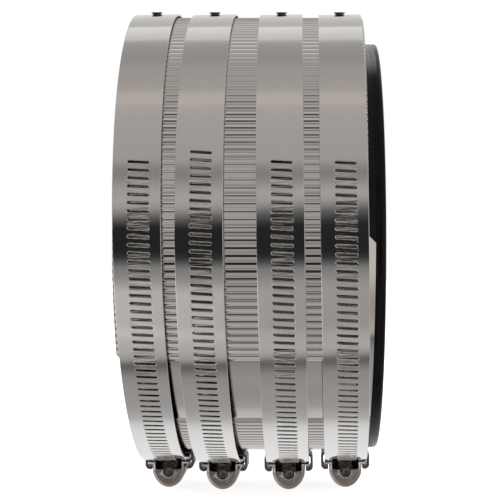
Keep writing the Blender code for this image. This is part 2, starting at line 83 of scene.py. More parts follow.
# The ribbed shield
SHIELD_WIDTH = 76.2 * MM
SHEET_THICKNESS = 0.25 * MM
VALLEY_RADIUS = 74.6 * MM
RIB_HEIGHT = 0.45 * MM
CREST_RADIUS = VALLEY_RADIUS + SHEET_THICKNESS + RIB_HEIGHT
TONGUE_RADIUS = VALLEY_RADIUS - SEAT_GAP - SHEET_THICKNESS
RIB_COUNT = 188
RIB_PITCH = radians(1.8)
SHEET_SKEW = 2.3 * MM
CORNER_CUT = 2.2 * MM
# the outer end lies 3.4 degrees further up than in the CAD; the tongue, whose length is given in
# ribs, is as much shorter, so it ends near the same place
OUTER_END = radians(-31.6)
TONGUE_RIBS = 29
SHEET_TRIM = 0.5 * MM
RIM_SHARE = 0.035
RIM_DROOP = 0.35 * MM
LAP_DROOP = 0.16 * MM
SAMPLES_PER_RIB = 40
SHEET_COLUMNS = 5
# one rib's height, going up the front: a steep flank, a crest that tilts up a little, and a
# second flank with a fine groove that the rolls leave
RIB_WAVE = (
    (0.0, 0.05), (0.025, 0.07), (0.075, 0.14), (0.125, 0.31), (0.175, 0.55), (0.225, 0.83),
    (0.275, 1.0), (0.325, 0.97), (0.375, 0.93), (0.425, 0.90), (0.475, 0.86), (0.525, 0.80),
    (0.575, 0.76), (0.625, 0.67), (0.675, 0.56), (0.725, 0.24), (0.775, 0.46), (0.825, 0.27),
    (0.875, 0.10), (0.925, 0.0), (0.975, 0.03), (1.0, 0.05),
)

# The straps
BAND_WIDTH = SHIELD_WIDTH * 3.0 / 16.0
BAND_THICKNESS = 0.6 * MM
SLOT_SLANT = radians(4.0)
SLOT_OFFSET = 0.5 * MM
LAP_RISE = 18.0 * MM
TAIL_MARGIN = 0.6 * MM
# how far they settle, so that the round loop stays in the CAD's faceted one
STRAP_SETTLE = 0.01 * MM
STRAP_STEP = radians(1.5)
EDGE_RADIUS = 0.16 * MM
EDGE_STEPS = 4
FACE_COLUMNS = 8
LIP_UNEVENNESS = 0.3
RIVET_HOLE_LIP = 0.2 * MM
BURR = 0.08 * MM

# The rivets
RIVET_FLANGE_RADIUS = 1.9 * MM
RIVET_FLANGE_HEIGHT = 0.6 * MM
RIVET_SHANK_RADIUS = 1.0 * MM
RIVET_BORE_RADIUS = 0.5 * MM
RIVET_ANGLE = radians(77.0)
RIVET_TILT = radians(90.0) - RIVET_ANGLE
RIVET_COLLAR_RADIUS = 1.5 * MM
RIVET_TOP = 2.0 * SEAT_GAP + BAND_THICKNESS + RIVET_FLANGE_HEIGHT - 0.02 * MM

# The screws
HEAD_ACROSS_FLATS = 7.9375 * MM
HEAD_HEIGHT = 5.4 * MM
HEAD_CHAMFER = 0.5 * MM
HEAD_SLOT_WIDTH = 1.2 * MM
HEAD_SLOT_DEPTH = 1.4 * MM
THREAD_RADIUS = 3.2 * MM
THREAD_DEPTH = 0.9 * MM
WORM_LENGTH = 10.0 * MM
NECK_RADIUS = 2.2 * MM
SCREW_RISE = THREAD_RADIUS + SEAT_GAP
WORM_FACETS = 48
WORM_ROWS = 97
# the head's foot, drawn in a little, and its chamfer as (share of its height, radius beyond the flats)
HEAD_FOOT_SHARE = 0.94
HEAD_FOOT_HEIGHT = 0.25 * MM
HEAD_CORNER_DROP = 0.3 * MM
HEAD_CROWN = ((0.0, 0.45 * MM), (0.5, 0.12 * MM), (0.9, -0.25 * MM), (1.0, -0.6 * MM))
# the tip, as (distance behind the housing's end wall, radius): a dimple in a rolled rim
TIP_PROFILE = (
    (0.45 * MM, 0.02 * MM), (0.42 * MM, 0.7 * MM), (0.34 * MM, 0.98 * MM), (0.06 * MM, 1.15 * MM),
    (0.0, 1.26 * MM), (0.02 * MM, 1.42 * MM), (0.14 * MM, 1.57 * MM), (0.34 * MM, 1.65 * MM),
)
TIP_SEEN = TIP_PROFILE[-1][1]
# one thread of the worm, from root to root
THREAD_WAVE = (
    (0.0, 0.0), (0.14, 0.0), (0.36, 0.92), (0.42, 1.0),
    (0.58, 1.0), (0.64, 0.92), (0.86, 0.0), (1.0, 0.0),
)

# The housings
HOUSING_LENGTH = 16.0 * MM
HOUSING_HALF = HOUSING_LENGTH / 2.0
HOUSING_RADIUS = 0.392 * BAND_WIDTH
HOUSING_DEPTH = 8.0 * MM
HOUSING_WALL = 0.8 * MM
END_WALL_EDGE = 0.9 * MM
FLANGE_END = 0.42 * MM
DOME_POWER = 1.6
DOME_ROUNDING = 1.2 * MM
# the doorway in the end wall: its half width, its lower edge, its corner as (share of the half
# width, height above the edge), and the circle round the screw's tip that it runs into
DOOR_HALF = 4.6 * MM
END_BROW = -2.85 * MM
DOOR_CORNER = ((1.0, 0.6 * MM), (0.94, 0.15 * MM), (0.82, 0.0))
TIP_COLLAR = 1.75 * MM
COLLAR_START = 0.36
TIP_RING_CROWN = 0.3 * MM
# where the flanges' ends get a painted highlight, and how strong the painted highlight on the ring round
# the tip is
HIGHLIGHT_ENDS = (4.2 * MM, 7.3 * MM)
RING_HIGHLIGHT = 0.3

# The saddles
SADDLE_LENGTH = 10.0 * MM
SADDLE_THICKNESS = 0.8 * MM
SADDLE_SIDE_GAP = 0.5 * MM
SADDLE_BEND_RADIUS = 1.0 * MM
LIP_RADIUS = 1.25 * MM
LIP_TURN = radians(125.0)
LIP_HEIGHT = -1.6 * MM

# Where each clamp sits, how loose it is, how it leans and swings on its rivet, and the angle
# above the front at which its slots begin, the last three in degrees
OUTER_CLAMP_PLACE = (SHIELD_WIDTH - BAND_WIDTH) / 2.0
INNER_CLAMP_PLACE = 0.365 * OUTER_CLAMP_PLACE
CLAMPS = (
    {"x": -OUTER_CLAMP_PLACE, "slack": 3.2 * MM, "lean": 1.05, "swing": 0.5, "slots_from": 16.3},
    {"x": -INNER_CLAMP_PLACE, "slack": 4.0 * MM, "lean": 0.63, "swing": 1.3, "slots_from": 18.8},
    {"x": INNER_CLAMP_PLACE, "slack": 4.0 * MM, "lean": 0.82, "swing": 0.2, "slots_from": 16.5},
    {"x": OUTER_CLAMP_PLACE, "slack": 3.2 * MM, "lean": 0.79, "swing": 0.9, "slots_from": 16.1},
)
CLAMP_NUMBERS = range(1, len(CLAMPS) + 1)

# The studio
CAMERA_FROM_COUPLING = Vector((0.019599, -0.459018, -0.005571))
FOCAL_LENGTH = 93.7
FRAME_SHIFT = -0.112
FLOOR_REACH = 3.0
FLOOR_GLOW = 0.80
FLOOR_GREY = (0.85, 0.85, 0.85, 1.0)
# the lamps: name, place, size and power
LAMPS = (("left_lamp", (-0.9, -0.7, 1.2), 0.9, 9.0), ("right_lamp", (1.0, -0.4, 1.0), 0.9, 5.0))
# what the polished metal reflects, as (degrees from straight ahead of the camera, brightness,
# warmth): a dark gap round the lens, grey panels, lit sheets between them and white far behind
PANELS_ABOVE = (
    (0.0, 0.025, 0.0), (6.0, 0.025, 0.0), (9.0, 0.06, 0.0), (13.0, 0.16, 0.1), (16.5, 0.38, 0.3),
    (19.0, 0.50, 0.4), (22.0, 0.56, 0.5), (25.0, 0.47, 0.5), (28.0, 0.36, 0.5), (31.0, 0.32, 0.4),
    (34.0, 0.36, 0.4), (38.0, 0.50, 0.5), (60.0, 0.54, 0.6), (67.0, 0.58, 0.8), (69.5, 0.67, 1.0),
    (74.0, 0.64, 1.0), (78.0, 0.53, 0.9), (91.0, 0.48, 0.6), (99.0, 0.42, 0.6), (105.0, 0.43, 0.5),
    (111.0, 0.47, 0.2), (115.0, 0.56, 0.0), (117.5, 0.80, 0.0), (127.0, 0.94, 0.3), (131.5, 1.02, 0.4),
    (133.5, 0.68, 0.3), (137.0, 0.63, 0.1), (155.0, 0.78, 0.0), (180.0, 0.82, 0.0),
)
PANELS_BELOW = (
    (0.0, 0.025, 0.0), (7.0, 0.025, 0.0), (10.0, 0.05, 0.0), (12.5, 0.16, 0.1), (15.0, 0.31, 0.3),
    (18.5, 0.37, 0.4), (22.0, 0.45, 0.5), (27.0, 0.47, 0.6), (43.0, 0.455, 0.6), (49.0, 0.57, 0.6),
    (55.0, 0.60, 0.6), (58.5, 0.48, 0.5), (61.5, 0.20, 0.1), (63.5, 0.17, 0.1), (66.0, 0.27, 0.3),
    (70.0, 0.38, 0.4), (79.0, 0.44, 0.3), (92.0, 0.48, 0.2), (101.0, 0.63, 0.1), (106.0, 0.88, 0.0),
    (113.0, 1.05, 0.0), (130.0, 1.10, 0.0), (155.0, 1.0, 0.0), (180.0, 0.90, 0.0),
)
# where the panels lean: degrees over which a lean comes in and goes out, and how much it leans
PANEL_LEANS = (((2.0, 9.0), (26.0, 16.0), 28.0), ((-50.0, -58.0), (-82.0, -70.0), 25.0))
# a bright sheet to the left, and one to the right that starts at a distance from the middle:
# degrees over which each comes in and goes out
LEFT_SHEET = ((-20.0, -28.0), (-55.0, -46.0))
LEFT_SHEET_GAIN = 3.6
RIGHT_SHEET = ((70.0, 20.0), (-35.0, -20.0))
RIGHT_SHEET_EDGE = (0.07, 0.16)
RIGHT_SHEET_COLOUR = (0.76, 0.74, 0.71, 1.0)
WARM_TINT = (1.04, 0.96, 0.90)

# The finishes
WHITE = (1.0, 1.0, 1.0, 1.0)
BLACK = (0.0, 0.0, 0.0, 1.0)
# the colour of the painted highlight on the housings' flange ends and tip rings
HIGHLIGHT_COLOUR = (0.92, 0.92, 0.91, 1.0)
# painted shade: how much darker the ribs' valleys are than their crests
VALLEY_SHADE = (0.93, 0.92, 0.91, 1.0)
# the colour of the painted shade beside the two left straps
STRAP_GAP_SHADE = (0.045, 0.033, 0.028, 1.0)
RUBBER_SPECK = (0.06, 0.058, 0.055, 1.0)
# the sleeve's lighter top: partly dust, partly a painted sheen of the light from above
RUBBER_DUST_AND_SHEEN = (0.32, 0.30, 0.29, 1.0)
# the heights over which the shield grows darker towards the bottom
SHIELD_DARKENING_FROM = (-46.0 * MM, -55.0 * MM)
# the heights over which the sleeve's dust and painted sheen come in
RUBBER_DUST_AND_SHEEN_FROM = (53.0 * MM, 62.0 * MM)
# painted shade of the gap under the two left straps, as dark streaks on the sheet's tongue beside
# them: where the strap's edge and the streak's edge lie at the top of the tongue, and how each
# drifts on the way down
STREAK_TOP = -38.5 * MM
STREAK_LENGTH = 20.0 * MM
SHADE_STREAKS = ((-24.2 * MM, -21.5 * MM), (-5.4 * MM, -3.3 * MM))
STREAK_DRIFTS = (0.15, 0.06)
# the zone of the straps that the punch left uneven: from its middle line, and up to a height
UNEVEN_HALF = (3.7 * MM, 2.9 * MM)
UNEVEN_BELOW = (23.0 * MM, 20.0 * MM)
DENT_SCALE = 620.0
DENT_DEPTH = 0.13 * MM


# Sizes and colours.

def length_setting(name, description, default):
    """A length that the user can change."""
    return FloatProperty(name=name, description=description, default=default, unit="LENGTH", precision=5)


def colour_setting(name, description, default):
    """A colour that the user can change."""
    return FloatVectorProperty(
        name=name, description=description, default=default, subtype="COLOR", min=0.0, max=1.0
    )


class CouplingShapes(PropertyGroup):
    """Sizes that change how the coupling looks without changing how it fits."""

    slot_pitch: length_setting(
        "Slot pitch", "Distance along the strap from one slot to the next", 2.48 * MM
    )
    slot_length: length_setting("Slot length", "Length of a slot across the strap", 6.5 * MM)
    slot_width: length_setting("Slot width", "Width of a slot along the strap", 0.86 * MM)
    slot_lip: length_setting("Slot lip", "How far from a slot's edge the punch bent the strap", 0.21 * MM)
    rib_height: length_setting("Rib height", "Height of the shield's ribs", 0.29 * MM)
    edge_rounding: length_setting(
        "Edge rounding", "Radius along the edges of the pressed pieces", 0.2 * MM
    )


class CouplingFinishes(PropertyGroup):
    """Colours of the coupling's materials."""

    shield: colour_setting("Shield", "Colour of the ribbed sheet", (0.655, 0.64, 0.625))
    strap: colour_setting("Strap", "Colour of the polished straps", (0.63, 0.62, 0.61))
    pressed: colour_setting("Pressed steel", "Colour of the housings and saddles", (0.34, 0.305, 0.295))
    screw: colour_setting("Screw", "Colour of the worm screws", (0.15, 0.127, 0.12))
    rivet: colour_setting("Rivet", "Colour of the rivets", (0.08, 0.075, 0.07))
    rubber: colour_setting("Rubber", "Colour of the sleeve", (0.005, 0.005, 0.0055))


# Meshes.

def on_circle(x, radius, angle):
    """A point at an angle round the axis: 0 faces -Y and a quarter turn is up."""
    return Vector((x, -radius * cos(angle), radius * sin(angle)))


def moved(x, y, z):
    """A move along the axes."""
    return Matrix.Translation((x, y, z))


def evenly(start, stop, largest):
    """Evenly spaced values from start to stop, no further apart than largest."""
    count = max(1, ceil(abs(stop - start) / largest - 1e-6))
    return [start + (stop - start) * i / count for i in range(count + 1)]


def smooth_step(value):
    """0 below 0, 1 above 1, and an even S between."""
    value = min(1.0, max(0.0, value))
    return value * value * (3.0 - 2.0 * value)


def arc(centre, radius, start, stop, count):
    """Points of an arc in a plane, both ends included."""
    points = []
    for i in range(count + 1):
        turn = start + (stop - start) * i / count
        points.append((centre[0] + radius * cos(turn), centre[1] + radius * sin(turn)))
    return points


def mirrored(points):
    """The points of a section's right side, run back along its left side."""
    return [(-x, z) for x, z in reversed(points)]


def tidy_mesh(mesh, sharp_above=radians(35.0)):
    """Merges doubled points, turns the faces outwards and smooths all but the real edges."""
    bm = bmesh.new()
    bm.from_mesh(mesh)
    bmesh.ops.remove_doubles(bm, verts=bm.verts, dist=MERGE)
    bmesh.ops.recalc_face_normals(bm, faces=bm.faces)
    bmesh.ops.dissolve_degenerate(bm, edges=bm.edges, dist=MERGE)
    bm.to_mesh(mesh)
    bm.free()
    mesh.shade_smooth()
    mesh.set_sharp_from_angle(angle=sharp_above)
    return mesh


def rolled_normals(mesh, radius):
    """Gives the outer face of a strap rolled round X the normals of a true cylinder."""
    normals = [Vector(corner.vector) for corner in mesh.corner_normals]
    for polygon in mesh.polygons:
        for corner in polygon.loop_indices:
            place = mesh.vertices[mesh.loops[corner].vertex_index].co
            outward = Vector((0.0, place.y, place.z))
            on_face = abs(outward.length - radius) < MERGE
            if on_face and polygon.normal.dot(outward) > 0.5 * outward.length:
                normals[corner] = outward.normalized()
    mesh.normals_split_custom_set(normals)
    return mesh


def mesh_from(name, bm):
    """The bmesh as a mesh."""
    mesh = bpy.data.meshes.new(name)
    bm.to_mesh(mesh)
    bm.free()
    return mesh


def band_of_faces(bm, first, second):
    """Faces between two closed rows of points."""
    for i in range(len(first)):
        j = (i + 1) % len(first)
        bm.faces.new((first[i], first[j], second[j], second[i]))


def joined_rows(bm, rows):
    """Faces between each row of points and the next."""
    for here, after in zip(rows, rows[1:]):
        band_of_faces(bm, here, after)


def turned_piece(name, profile, segments, point):
    """A closed profile of (along, radius) turned round an axis."""
    bm = bmesh.new()
    rings = []
    for along, radius in profile:
        rings.append([bm.verts.new(point(along, radius, tau * i / segments)) for i in range(segments)])
    joined_rows(bm, rings + rings[:1])
    return mesh_from(name, bm)


def drawn_out(name, section, start, stop):
    """A closed section of (x, z) points drawn out along Y."""
    bm = bmesh.new()
    rings = [[bm.verts.new((x, y, z)) for x, z in section] for y in (start, stop)]
    joined_rows(bm, rings)
    for ring in rings:
        bm.faces.new(ring)
    bmesh.ops.recalc_face_normals(bm, faces=bm.faces)
    return mesh_from(name, bm)


def placed(name, data):
    """A new object in the scene."""
    made = bpy.data.objects.new(name, data)
    bpy.context.scene.collection.objects.link(made)
    return made


def worked_out(helper, *others):
    """The helper's mesh with its modifiers taken in; the helper and the others go."""
    bpy.context.view_layer.update()
    depsgraph = bpy.context.evaluated_depsgraph_get()
    mesh = bpy.data.meshes.new_from_object(
        helper.evaluated_get(depsgraph), preserve_all_data_layers=True, depsgraph=depsgraph
    )
    for used in (helper, *others):
        bpy.data.objects.remove(used, do_unlink=True)
    return mesh


def add_modifier(helper, name, kind, **settings):
    """A modifier with its settings."""
    modifier = helper.modifiers.new(name, kind)
    for setting, value in settings.items():
        setattr(modifier, setting, value)


def evened(mesh):
    """The mesh with its normals weighted by area, so small edges don't tint large faces."""
    helper = placed("evened", mesh)
    add_modifier(helper, "evened", "WEIGHTED_NORMAL", mode="FACE_AREA", weight=100, keep_sharp=True)
    return worked_out(helper)


def cut_and_rounded(name, mesh, cutters, rounding, added=()):
    """The mesh with some solids added, the cutters taken out of it and its edges rounded."""
    helper = placed(name, mesh)
    tools = []
    for operation, solids in (("UNION", added), ("DIFFERENCE", cutters)):
        for solid in solids:
            tools.append(placed(f"{name}_cutter", solid))
            add_modifier(helper, "cut", "BOOLEAN", operation=operation, solver="EXACT", object=tools[-1])
    if rounding > 0.0:
        add_modifier(
            helper, "rounded", "BEVEL", width=rounding, segments=3,
            limit_method="ANGLE", angle_limit=radians(40.0), use_clamp_overlap=True,
        )
    return evened(tidy_mesh(worked_out(helper, *tools)))


def dress(name, mesh, matrix, material, body, nodes):
    """Puts a finished mesh in its place on a body, in the stead of its CAD nodes."""
    place = mesh.attributes.new("own_place", "FLOAT_VECTOR", "POINT")
    place.data.foreach_set("vector", [value for vertex in mesh.vertices for value in vertex.co])
    mesh.transform(matrix)
    mesh.materials.clear()
    mesh.materials.append(material)
    mesh.name = name
    piece = placed(name, mesh)
    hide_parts(*nodes)
    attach(piece, body)


# Node trees.

class Wire:
    """An output of a node, which formulas can be written with: each sum makes a Math node."""

    def __init__(self, node, output=0):
        self.node = node
        self.output = output

    def __getitem__(self, output):
        return Wire(self.node, output)

    @property
    def tree(self):
        return self.node.id_data

    def calc(self, operation, *others):
        values = dict(enumerate((self, *others)))
        return add_node(self.tree, "ShaderNodeMath", values, operation=operation)

    def __add__(self, other):
        return self.calc("ADD", other)

    def __sub__(self, other):
        return self.calc("SUBTRACT", other)

    def __rsub__(self, other):
        return add_node(self.tree, "ShaderNodeMath", {0: other, 1: self}, operation="SUBTRACT")

    def __mul__(self, other):
        return self.calc("MULTIPLY", other)

    def __truediv__(self, other):
        return self.calc("DIVIDE", other)

    def __lt__(self, other):
        return self.calc("LESS_THAN", other)

    def __gt__(self, other):
        return self.calc("GREATER_THAN", other)

    def __neg__(self):
        return self.calc("MULTIPLY", -1.0)

    def clamped(self):
        """This sum's result, kept between 0 and 1."""
        self.node.use_clamp = True
        return self

    def spread(self, low, high, to_low=0.0, to_high=1.0, kind="LINEAR"):
        """The value carried from one range to another, and held at the ends."""
        ends = {"From Min": low, "From Max": high, "To Min": to_low, "To Max": to_high}
        return add_node(self.tree, "ShaderNodeMapRange", {"Value": self, **ends}, interpolation_type=kind)

    def eased(self, low, high):
        """0 at low and 1 at high, with an S between."""
        return self.spread(low, high, kind="SMOOTHSTEP")

    def window(self, rise, fall):
        """1 between two slopes, each given as (where it is 0, where it is 1)."""
        return self.eased(*rise) * self.eased(*fall)


def set_inputs(node, inputs):
    """Sets or links a node's inputs, by name or number."""
    for name, value in inputs.items():
        if isinstance(value, Wire):
            node.id_data.links.new(value.node.outputs[value.output], node.inputs[name])
        else:
            node.inputs[name].default_value = value


def add_node(tree, kind, inputs=None, **settings):
    """A node with its settings and inputs, as its first output."""
    node = tree.nodes.new(kind)
    for name, value in settings.items():
        setattr(node, name, value)
    set_inputs(node, inputs or {})
    return Wire(node)


def axes(vector):
    """A vector's three parts."""
    parts = add_node(vector.tree, "ShaderNodeSeparateXYZ", {0: vector})
    return parts["X"], parts["Y"], parts["Z"]


def vector_of(tree, **parts):
    """A vector from its X, Y and Z."""
    return add_node(tree, "ShaderNodeCombineXYZ", parts)


def curve_of(value, points, handle="AUTO_CLAMPED"):
    """The value carried over a Float Curve through the points."""
    made = add_node(value.tree, "ShaderNodeFloatCurve", {"Value": value})
    curve = made.node.mapping.curves[0]
    while len(curve.points) < len(points):
        curve.points.new(0.5, 0.5)
    for point, place in zip(curve.points, points):
        point.location = place
        point.handle_type = handle
    made.node.mapping.update()
    return made


def joined(*parts):
    """The parts' geometry as one, with its doubled points merged."""
    tree = parts[0].tree
    both = add_node(tree, "GeometryNodeJoinGeometry")
    for part in parts:
        set_inputs(both.node, {0: part})
    return add_node(tree, "GeometryNodeMergeByDistance", {"Geometry": both, "Distance": MERGE})


def new_tree(name, kind, inputs, outputs):
    """A node group whose inputs take their types and defaults from values, and its input node."""
    tree = bpy.data.node_groups.new(name, kind)
    for label, value in inputs.items():
        value_kind = "Geometry" if value is None else type(value).__name__.capitalize()
        socket = tree.interface.new_socket(label, in_out="INPUT", socket_type=f"NodeSocket{value_kind}")
        if value is not None:
            socket.default_value = value
    for label, value_kind in outputs.items():
        tree.interface.new_socket(label, in_out="OUTPUT", socket_type=f"NodeSocket{value_kind}")
    return tree, add_node(tree, "NodeGroupInput")


def shape_with(helper, build, values):
    """Adds a Geometry Nodes tree to the helper, built when it is first used, with its inputs set."""
    tree = bpy.data.node_groups.get(build.__name__)
    if tree is None:
        inputs = {"Geometry": None, **values}
        tree, given = new_tree(build.__name__, "GeometryNodeTree", inputs, {"Geometry": "Geometry"})
        real = add_node(tree, "GeometryNodeRealizeInstances", {"Geometry": build(tree, given)})
        coated = add_node(
            tree, "GeometryNodeSetMaterial", {"Geometry": real, "Material": given["Material"]}
        )
        add_node(tree, "NodeGroupOutput", {"Geometry": coated})
    modifier = helper.modifiers.new(tree.name, "NODES")
    modifier.node_group = tree
    for item in tree.interface.items_tree:
        if item.in_out == "INPUT" and item.name in values:
            modifier[item.identifier] = values[item.name]
    helper.update_tag()


def flat_grid(tree, rows, columns):
    """A grid, with how far each of its points is along and across, from 0 to 1."""
    grid = add_node(
        tree, "GeometryNodeMeshGrid",
        {"Size X": 1.0, "Size Y": 1.0, "Vertices X": rows, "Vertices Y": columns},
    )
    x, y, z = axes(add_node(tree, "GeometryNodeInputPosition"))
    return grid, x + 0.5, y + 0.5


def named_vector(tree, name):
    """A vector that the geometry holds under a name."""
    return add_node(tree, "GeometryNodeInputNamedAttribute", {"Name": name}, data_type="FLOAT_VECTOR")


def ribbed_sheet(tree, given):
    """Geometry Nodes: a ribbed sheet rolled round X, past a full turn, with a plain tongue."""
    total = given["Ribs"] + given["Tongue Ribs"]
    grid, along, column = flat_grid(tree, total * given["Samples per Rib"] + 1.0, given["Columns"])
    column = column * (given["Columns"] - 1.0)
    main = given["Columns"] - 3.0
    into_rim = ((column - main) / 2.0).clamped()
    rim = given["Rim Share"]
    across = column.calc("MINIMUM", main) / main * (1.0 - rim) + into_rim * rim

    ribs = along * total
    rolled = ribs * given["Rib Pitch"]
    turn = rolled + given["Outer End"]
    height = curve_of(ribs.calc("FRACT"), RIB_WAVE, "VECTOR") * (ribs < given["Ribs"] + 0.01)
    crest = height * given["Rib Height"] + given["Valley Radius"]
    # the step down to the tongue takes a third of a rib, and the bent outer end 0.4 of one
    jog = ((ribs - given["Ribs"]) * 3.0).clamped()
    radius = add_node(
        tree, "ShaderNodeMix", {"Factor": jog, 2: crest, 3: given["Tongue Radius"]}, data_type="FLOAT"
    )
    from_end = (1.0 - ribs * 2.5).clamped()
    radius = radius - into_rim * jog * given["Rim Droop"] - from_end * from_end * given["Lap Droop"]

    to_end = ribs.calc("MINIMUM", total - ribs) * given["Rib Pitch"] * given["Valley Radius"]
    cut = (given["Corner Cut"] - to_end).calc("MAXIMUM", 0.0)
    x = (across * 2.0 - 1.0) * (given["Width"] * 0.5 - cut) + rolled / tau * given["Skew"]
    toward_y = -turn.calc("COSINE")
    toward_z = turn.calc("SINE")

    flat = grid
    outward = vector_of(tree, Y=toward_y, Z=toward_z)
    for name, value, data_type in (("outward", outward, "FLOAT_VECTOR"), ("rib", height, "FLOAT")):
        flat = add_node(
            tree, "GeometryNodeStoreNamedAttribute", {"Geometry": flat, "Name": name, "Value": value},
            data_type=data_type, domain="POINT",
        )
    place = vector_of(tree, X=x, Y=toward_y * radius, Z=toward_z * radius)
    sheet = add_node(tree, "GeometryNodeSetPosition", {"Geometry": flat, "Position": place})
    offset = {"Offset": named_vector(tree, "outward"), "Offset Scale": given["Thickness"]}
    thick = add_node(
        tree, "GeometryNodeExtrudeMesh", {"Mesh": sheet, **offset, "Individual": False}, mode="FACES"
    )
    inside = add_node(tree, "GeometryNodeFlipFaces", {"Mesh": sheet})
    return joined(thick, inside)


def slotted_strap(tree, given):
    """Geometry Nodes: the plain strap with slot cells set round its loop at an even pitch."""
    points = add_node(tree, "GeometryNodePoints", {"Count": given["Slots"]})
    number = add_node(tree, "GeometryNodeInputIndex")
    turn = number.calc("MULTIPLY_ADD", given["Pitch Turn"], given["First Turn"])
    cell = add_node(tree, "GeometryNodeObjectInfo", {"Object": given["Cell"]})["Geometry"]
    cells = add_node(
        tree, "GeometryNodeInstanceOnPoints",
        {"Points": points, "Instance": cell, "Rotation": vector_of(tree, X=turn)},
    )
    return joined(add_node(tree, "GeometryNodeRealizeInstances", {"Geometry": cells}), given["Geometry"])


def repeated_piece(tree, given):
    """Geometry Nodes: one piece set on every point of a mesh, turned by the point's attribute."""
    piece = add_node(tree, "GeometryNodeObjectInfo", {"Object": given["Piece"]})["Geometry"]
    return add_node(
        tree, "GeometryNodeInstanceOnPoints",
        {"Points": given["Geometry"], "Instance": piece, "Rotation": named_vector(tree, "turned")},
    )


def worm_thread(tree, given):
    """Geometry Nodes: the worm's thread wound round Y, fading into its core at both ends."""
    grid, along, share = flat_grid(tree, given["Rows"], given["Facets"] + 1.0)
    along = along * given["Length"]
    phase = (along / given["Pitch"] - share + 4.0).calc("FRACT")
    near = along.calc("MINIMUM", given["Length"] - along) / given["Pitch"]
    raised = curve_of(phase, THREAD_WAVE) * (near * 1.6).clamped()
    radius = raised * given["Depth"] + given["Root Radius"]
    angle = share * tau
    place = vector_of(
        tree, X=angle.calc("COSINE") * radius, Y=along + given["Start"], Z=angle.calc("SINE") * radius
    )
    wound = add_node(tree, "GeometryNodeSetPosition", {"Geometry": grid, "Position": place})
    return joined(wound, given["Geometry"])


# Finishes.

def noise(vector, scale, detail, roughness=0.5, distortion=0.0):
    """Soft noise over a vector."""
    return add_node(vector.tree, "ShaderNodeTexNoise", {
        "Vector": vector, "Scale": scale, "Detail": detail,
        "Roughness": roughness, "Distortion": distortion,
    })


def stretched(vector, scale):
    """The vector multiplied part by part."""
    return add_node(vector.tree, "ShaderNodeVectorMath", {0: vector, 1: scale}, operation="MULTIPLY")


def bump_of(height, strength, distance, normal=None):
    """A relief from a height, on top of another where there is one."""
    below = {} if normal is None else {"Normal": normal}
    inputs = {"Height": height, "Strength": strength, "Distance": distance, **below}
    return add_node(height.tree, "ShaderNodeBump", inputs)


def shade(colour, factor):
    """The colour made darker or lighter, with its alpha."""
    return (*[min(1.0, part * factor) for part in colour], 1.0)


def blend_colour(tree, factor, first, second, kind="MIX"):
    """A colour that goes from first to second."""
    inputs = {"Factor": factor, 6: first, 7: second}
    return add_node(tree, "ShaderNodeMix", inputs, data_type="RGBA", blend_type=kind)[2]


def attribute(tree, name):
    """What the mesh holds under a name."""
    return add_node(tree, "ShaderNodeAttribute", attribute_name=name)


def own_place(tree):
    """The piece's own coordinates, before it was set in place."""
    return attribute(tree, "own_place")["Vector"]


def rolled_grain():
    """Shader group: the fine lines that rolling and drawing leave along a strip."""
    inputs = {"Vector": Vector(), "Lines per Metre": 1500.0, "Stretch": 120.0}
    tree, given = new_tree("rolled_grain", "ShaderNodeTree", inputs, {"Lines": "Float", "Broad": "Float"})
    slow = given["Lines per Metre"] / given["Stretch"]
    scale = vector_of(tree, X=given["Lines per Metre"], Y=slow, Z=slow)
    drawn = stretched(given["Vector"], scale)
    lines = noise(drawn, 1.0, 4.0, 0.6)
    add_node(tree, "NodeGroupOutput", {"Lines": lines, "Broad": noise(drawn, 0.22, 2.0)})
    return tree


def handling_marks():
    """Shader group: soft smudges and specks that handling leaves."""
    inputs = {"Vector": Vector(), "Scale": 45.0}
    outputs = {"Smudge": "Float", "Specks": "Float"}
    tree, given = new_tree("handling_marks", "ShaderNodeTree", inputs, outputs)
    cloud = noise(given["Vector"], given["Scale"], 5.0, 0.62, 0.4).spread(0.42, 0.68)
    dots = noise(given["Vector"], given["Scale"] * 26.0, 2.0).spread(0.66, 0.74)
    add_node(tree, "NodeGroupOutput", {"Smudge": cloud, "Specks": dots})
    return tree


def group_node(tree, build, inputs):
    """A shader group, built when it is first used, placed in a material with its own values."""
    group = bpy.data.node_groups.get(build.__name__) or build()
    return add_node(tree, "ShaderNodeGroup", inputs, node_tree=group)


def blank_material(name):
    """A material with only its Principled shader, and its tree."""
    material = bpy.data.materials.new(name)
    material.use_nodes = True
    return material, material.node_tree


def finished(material, looks):
    """The material with what its Principled shader is given."""
    set_inputs(material.node_tree.nodes["Principled BSDF"], looks)
    return material


def metal(name, colour, roughness, lines, stretch, contrast, bump):
    """A rolled or drawn metal and its looks: fine lines along the strip, smudges, faint relief."""
    material, tree = blank_material(name)
    place = own_place(tree)
    grain = group_node(
        tree, rolled_grain, {"Vector": place, "Lines per Metre": lines, "Stretch": stretch}
    )
    marks = group_node(tree, handling_marks, {"Vector": place, "Scale": 40.0})
    dark, light = shade(colour, 1.0 - contrast), shade(colour, 1.0 + contrast)
    dull = marks["Smudge"] * 0.5 + grain["Broad"] * 0.5
    return material, {
        "Base Color": blend_colour(tree, grain["Lines"], dark, light),
        "Roughness": dull.spread(0.0, 1.0, *roughness),
        "Normal": bump_of(grain["Lines"], bump, 0.02 * MM),
        "Metallic": 1.0,
    }


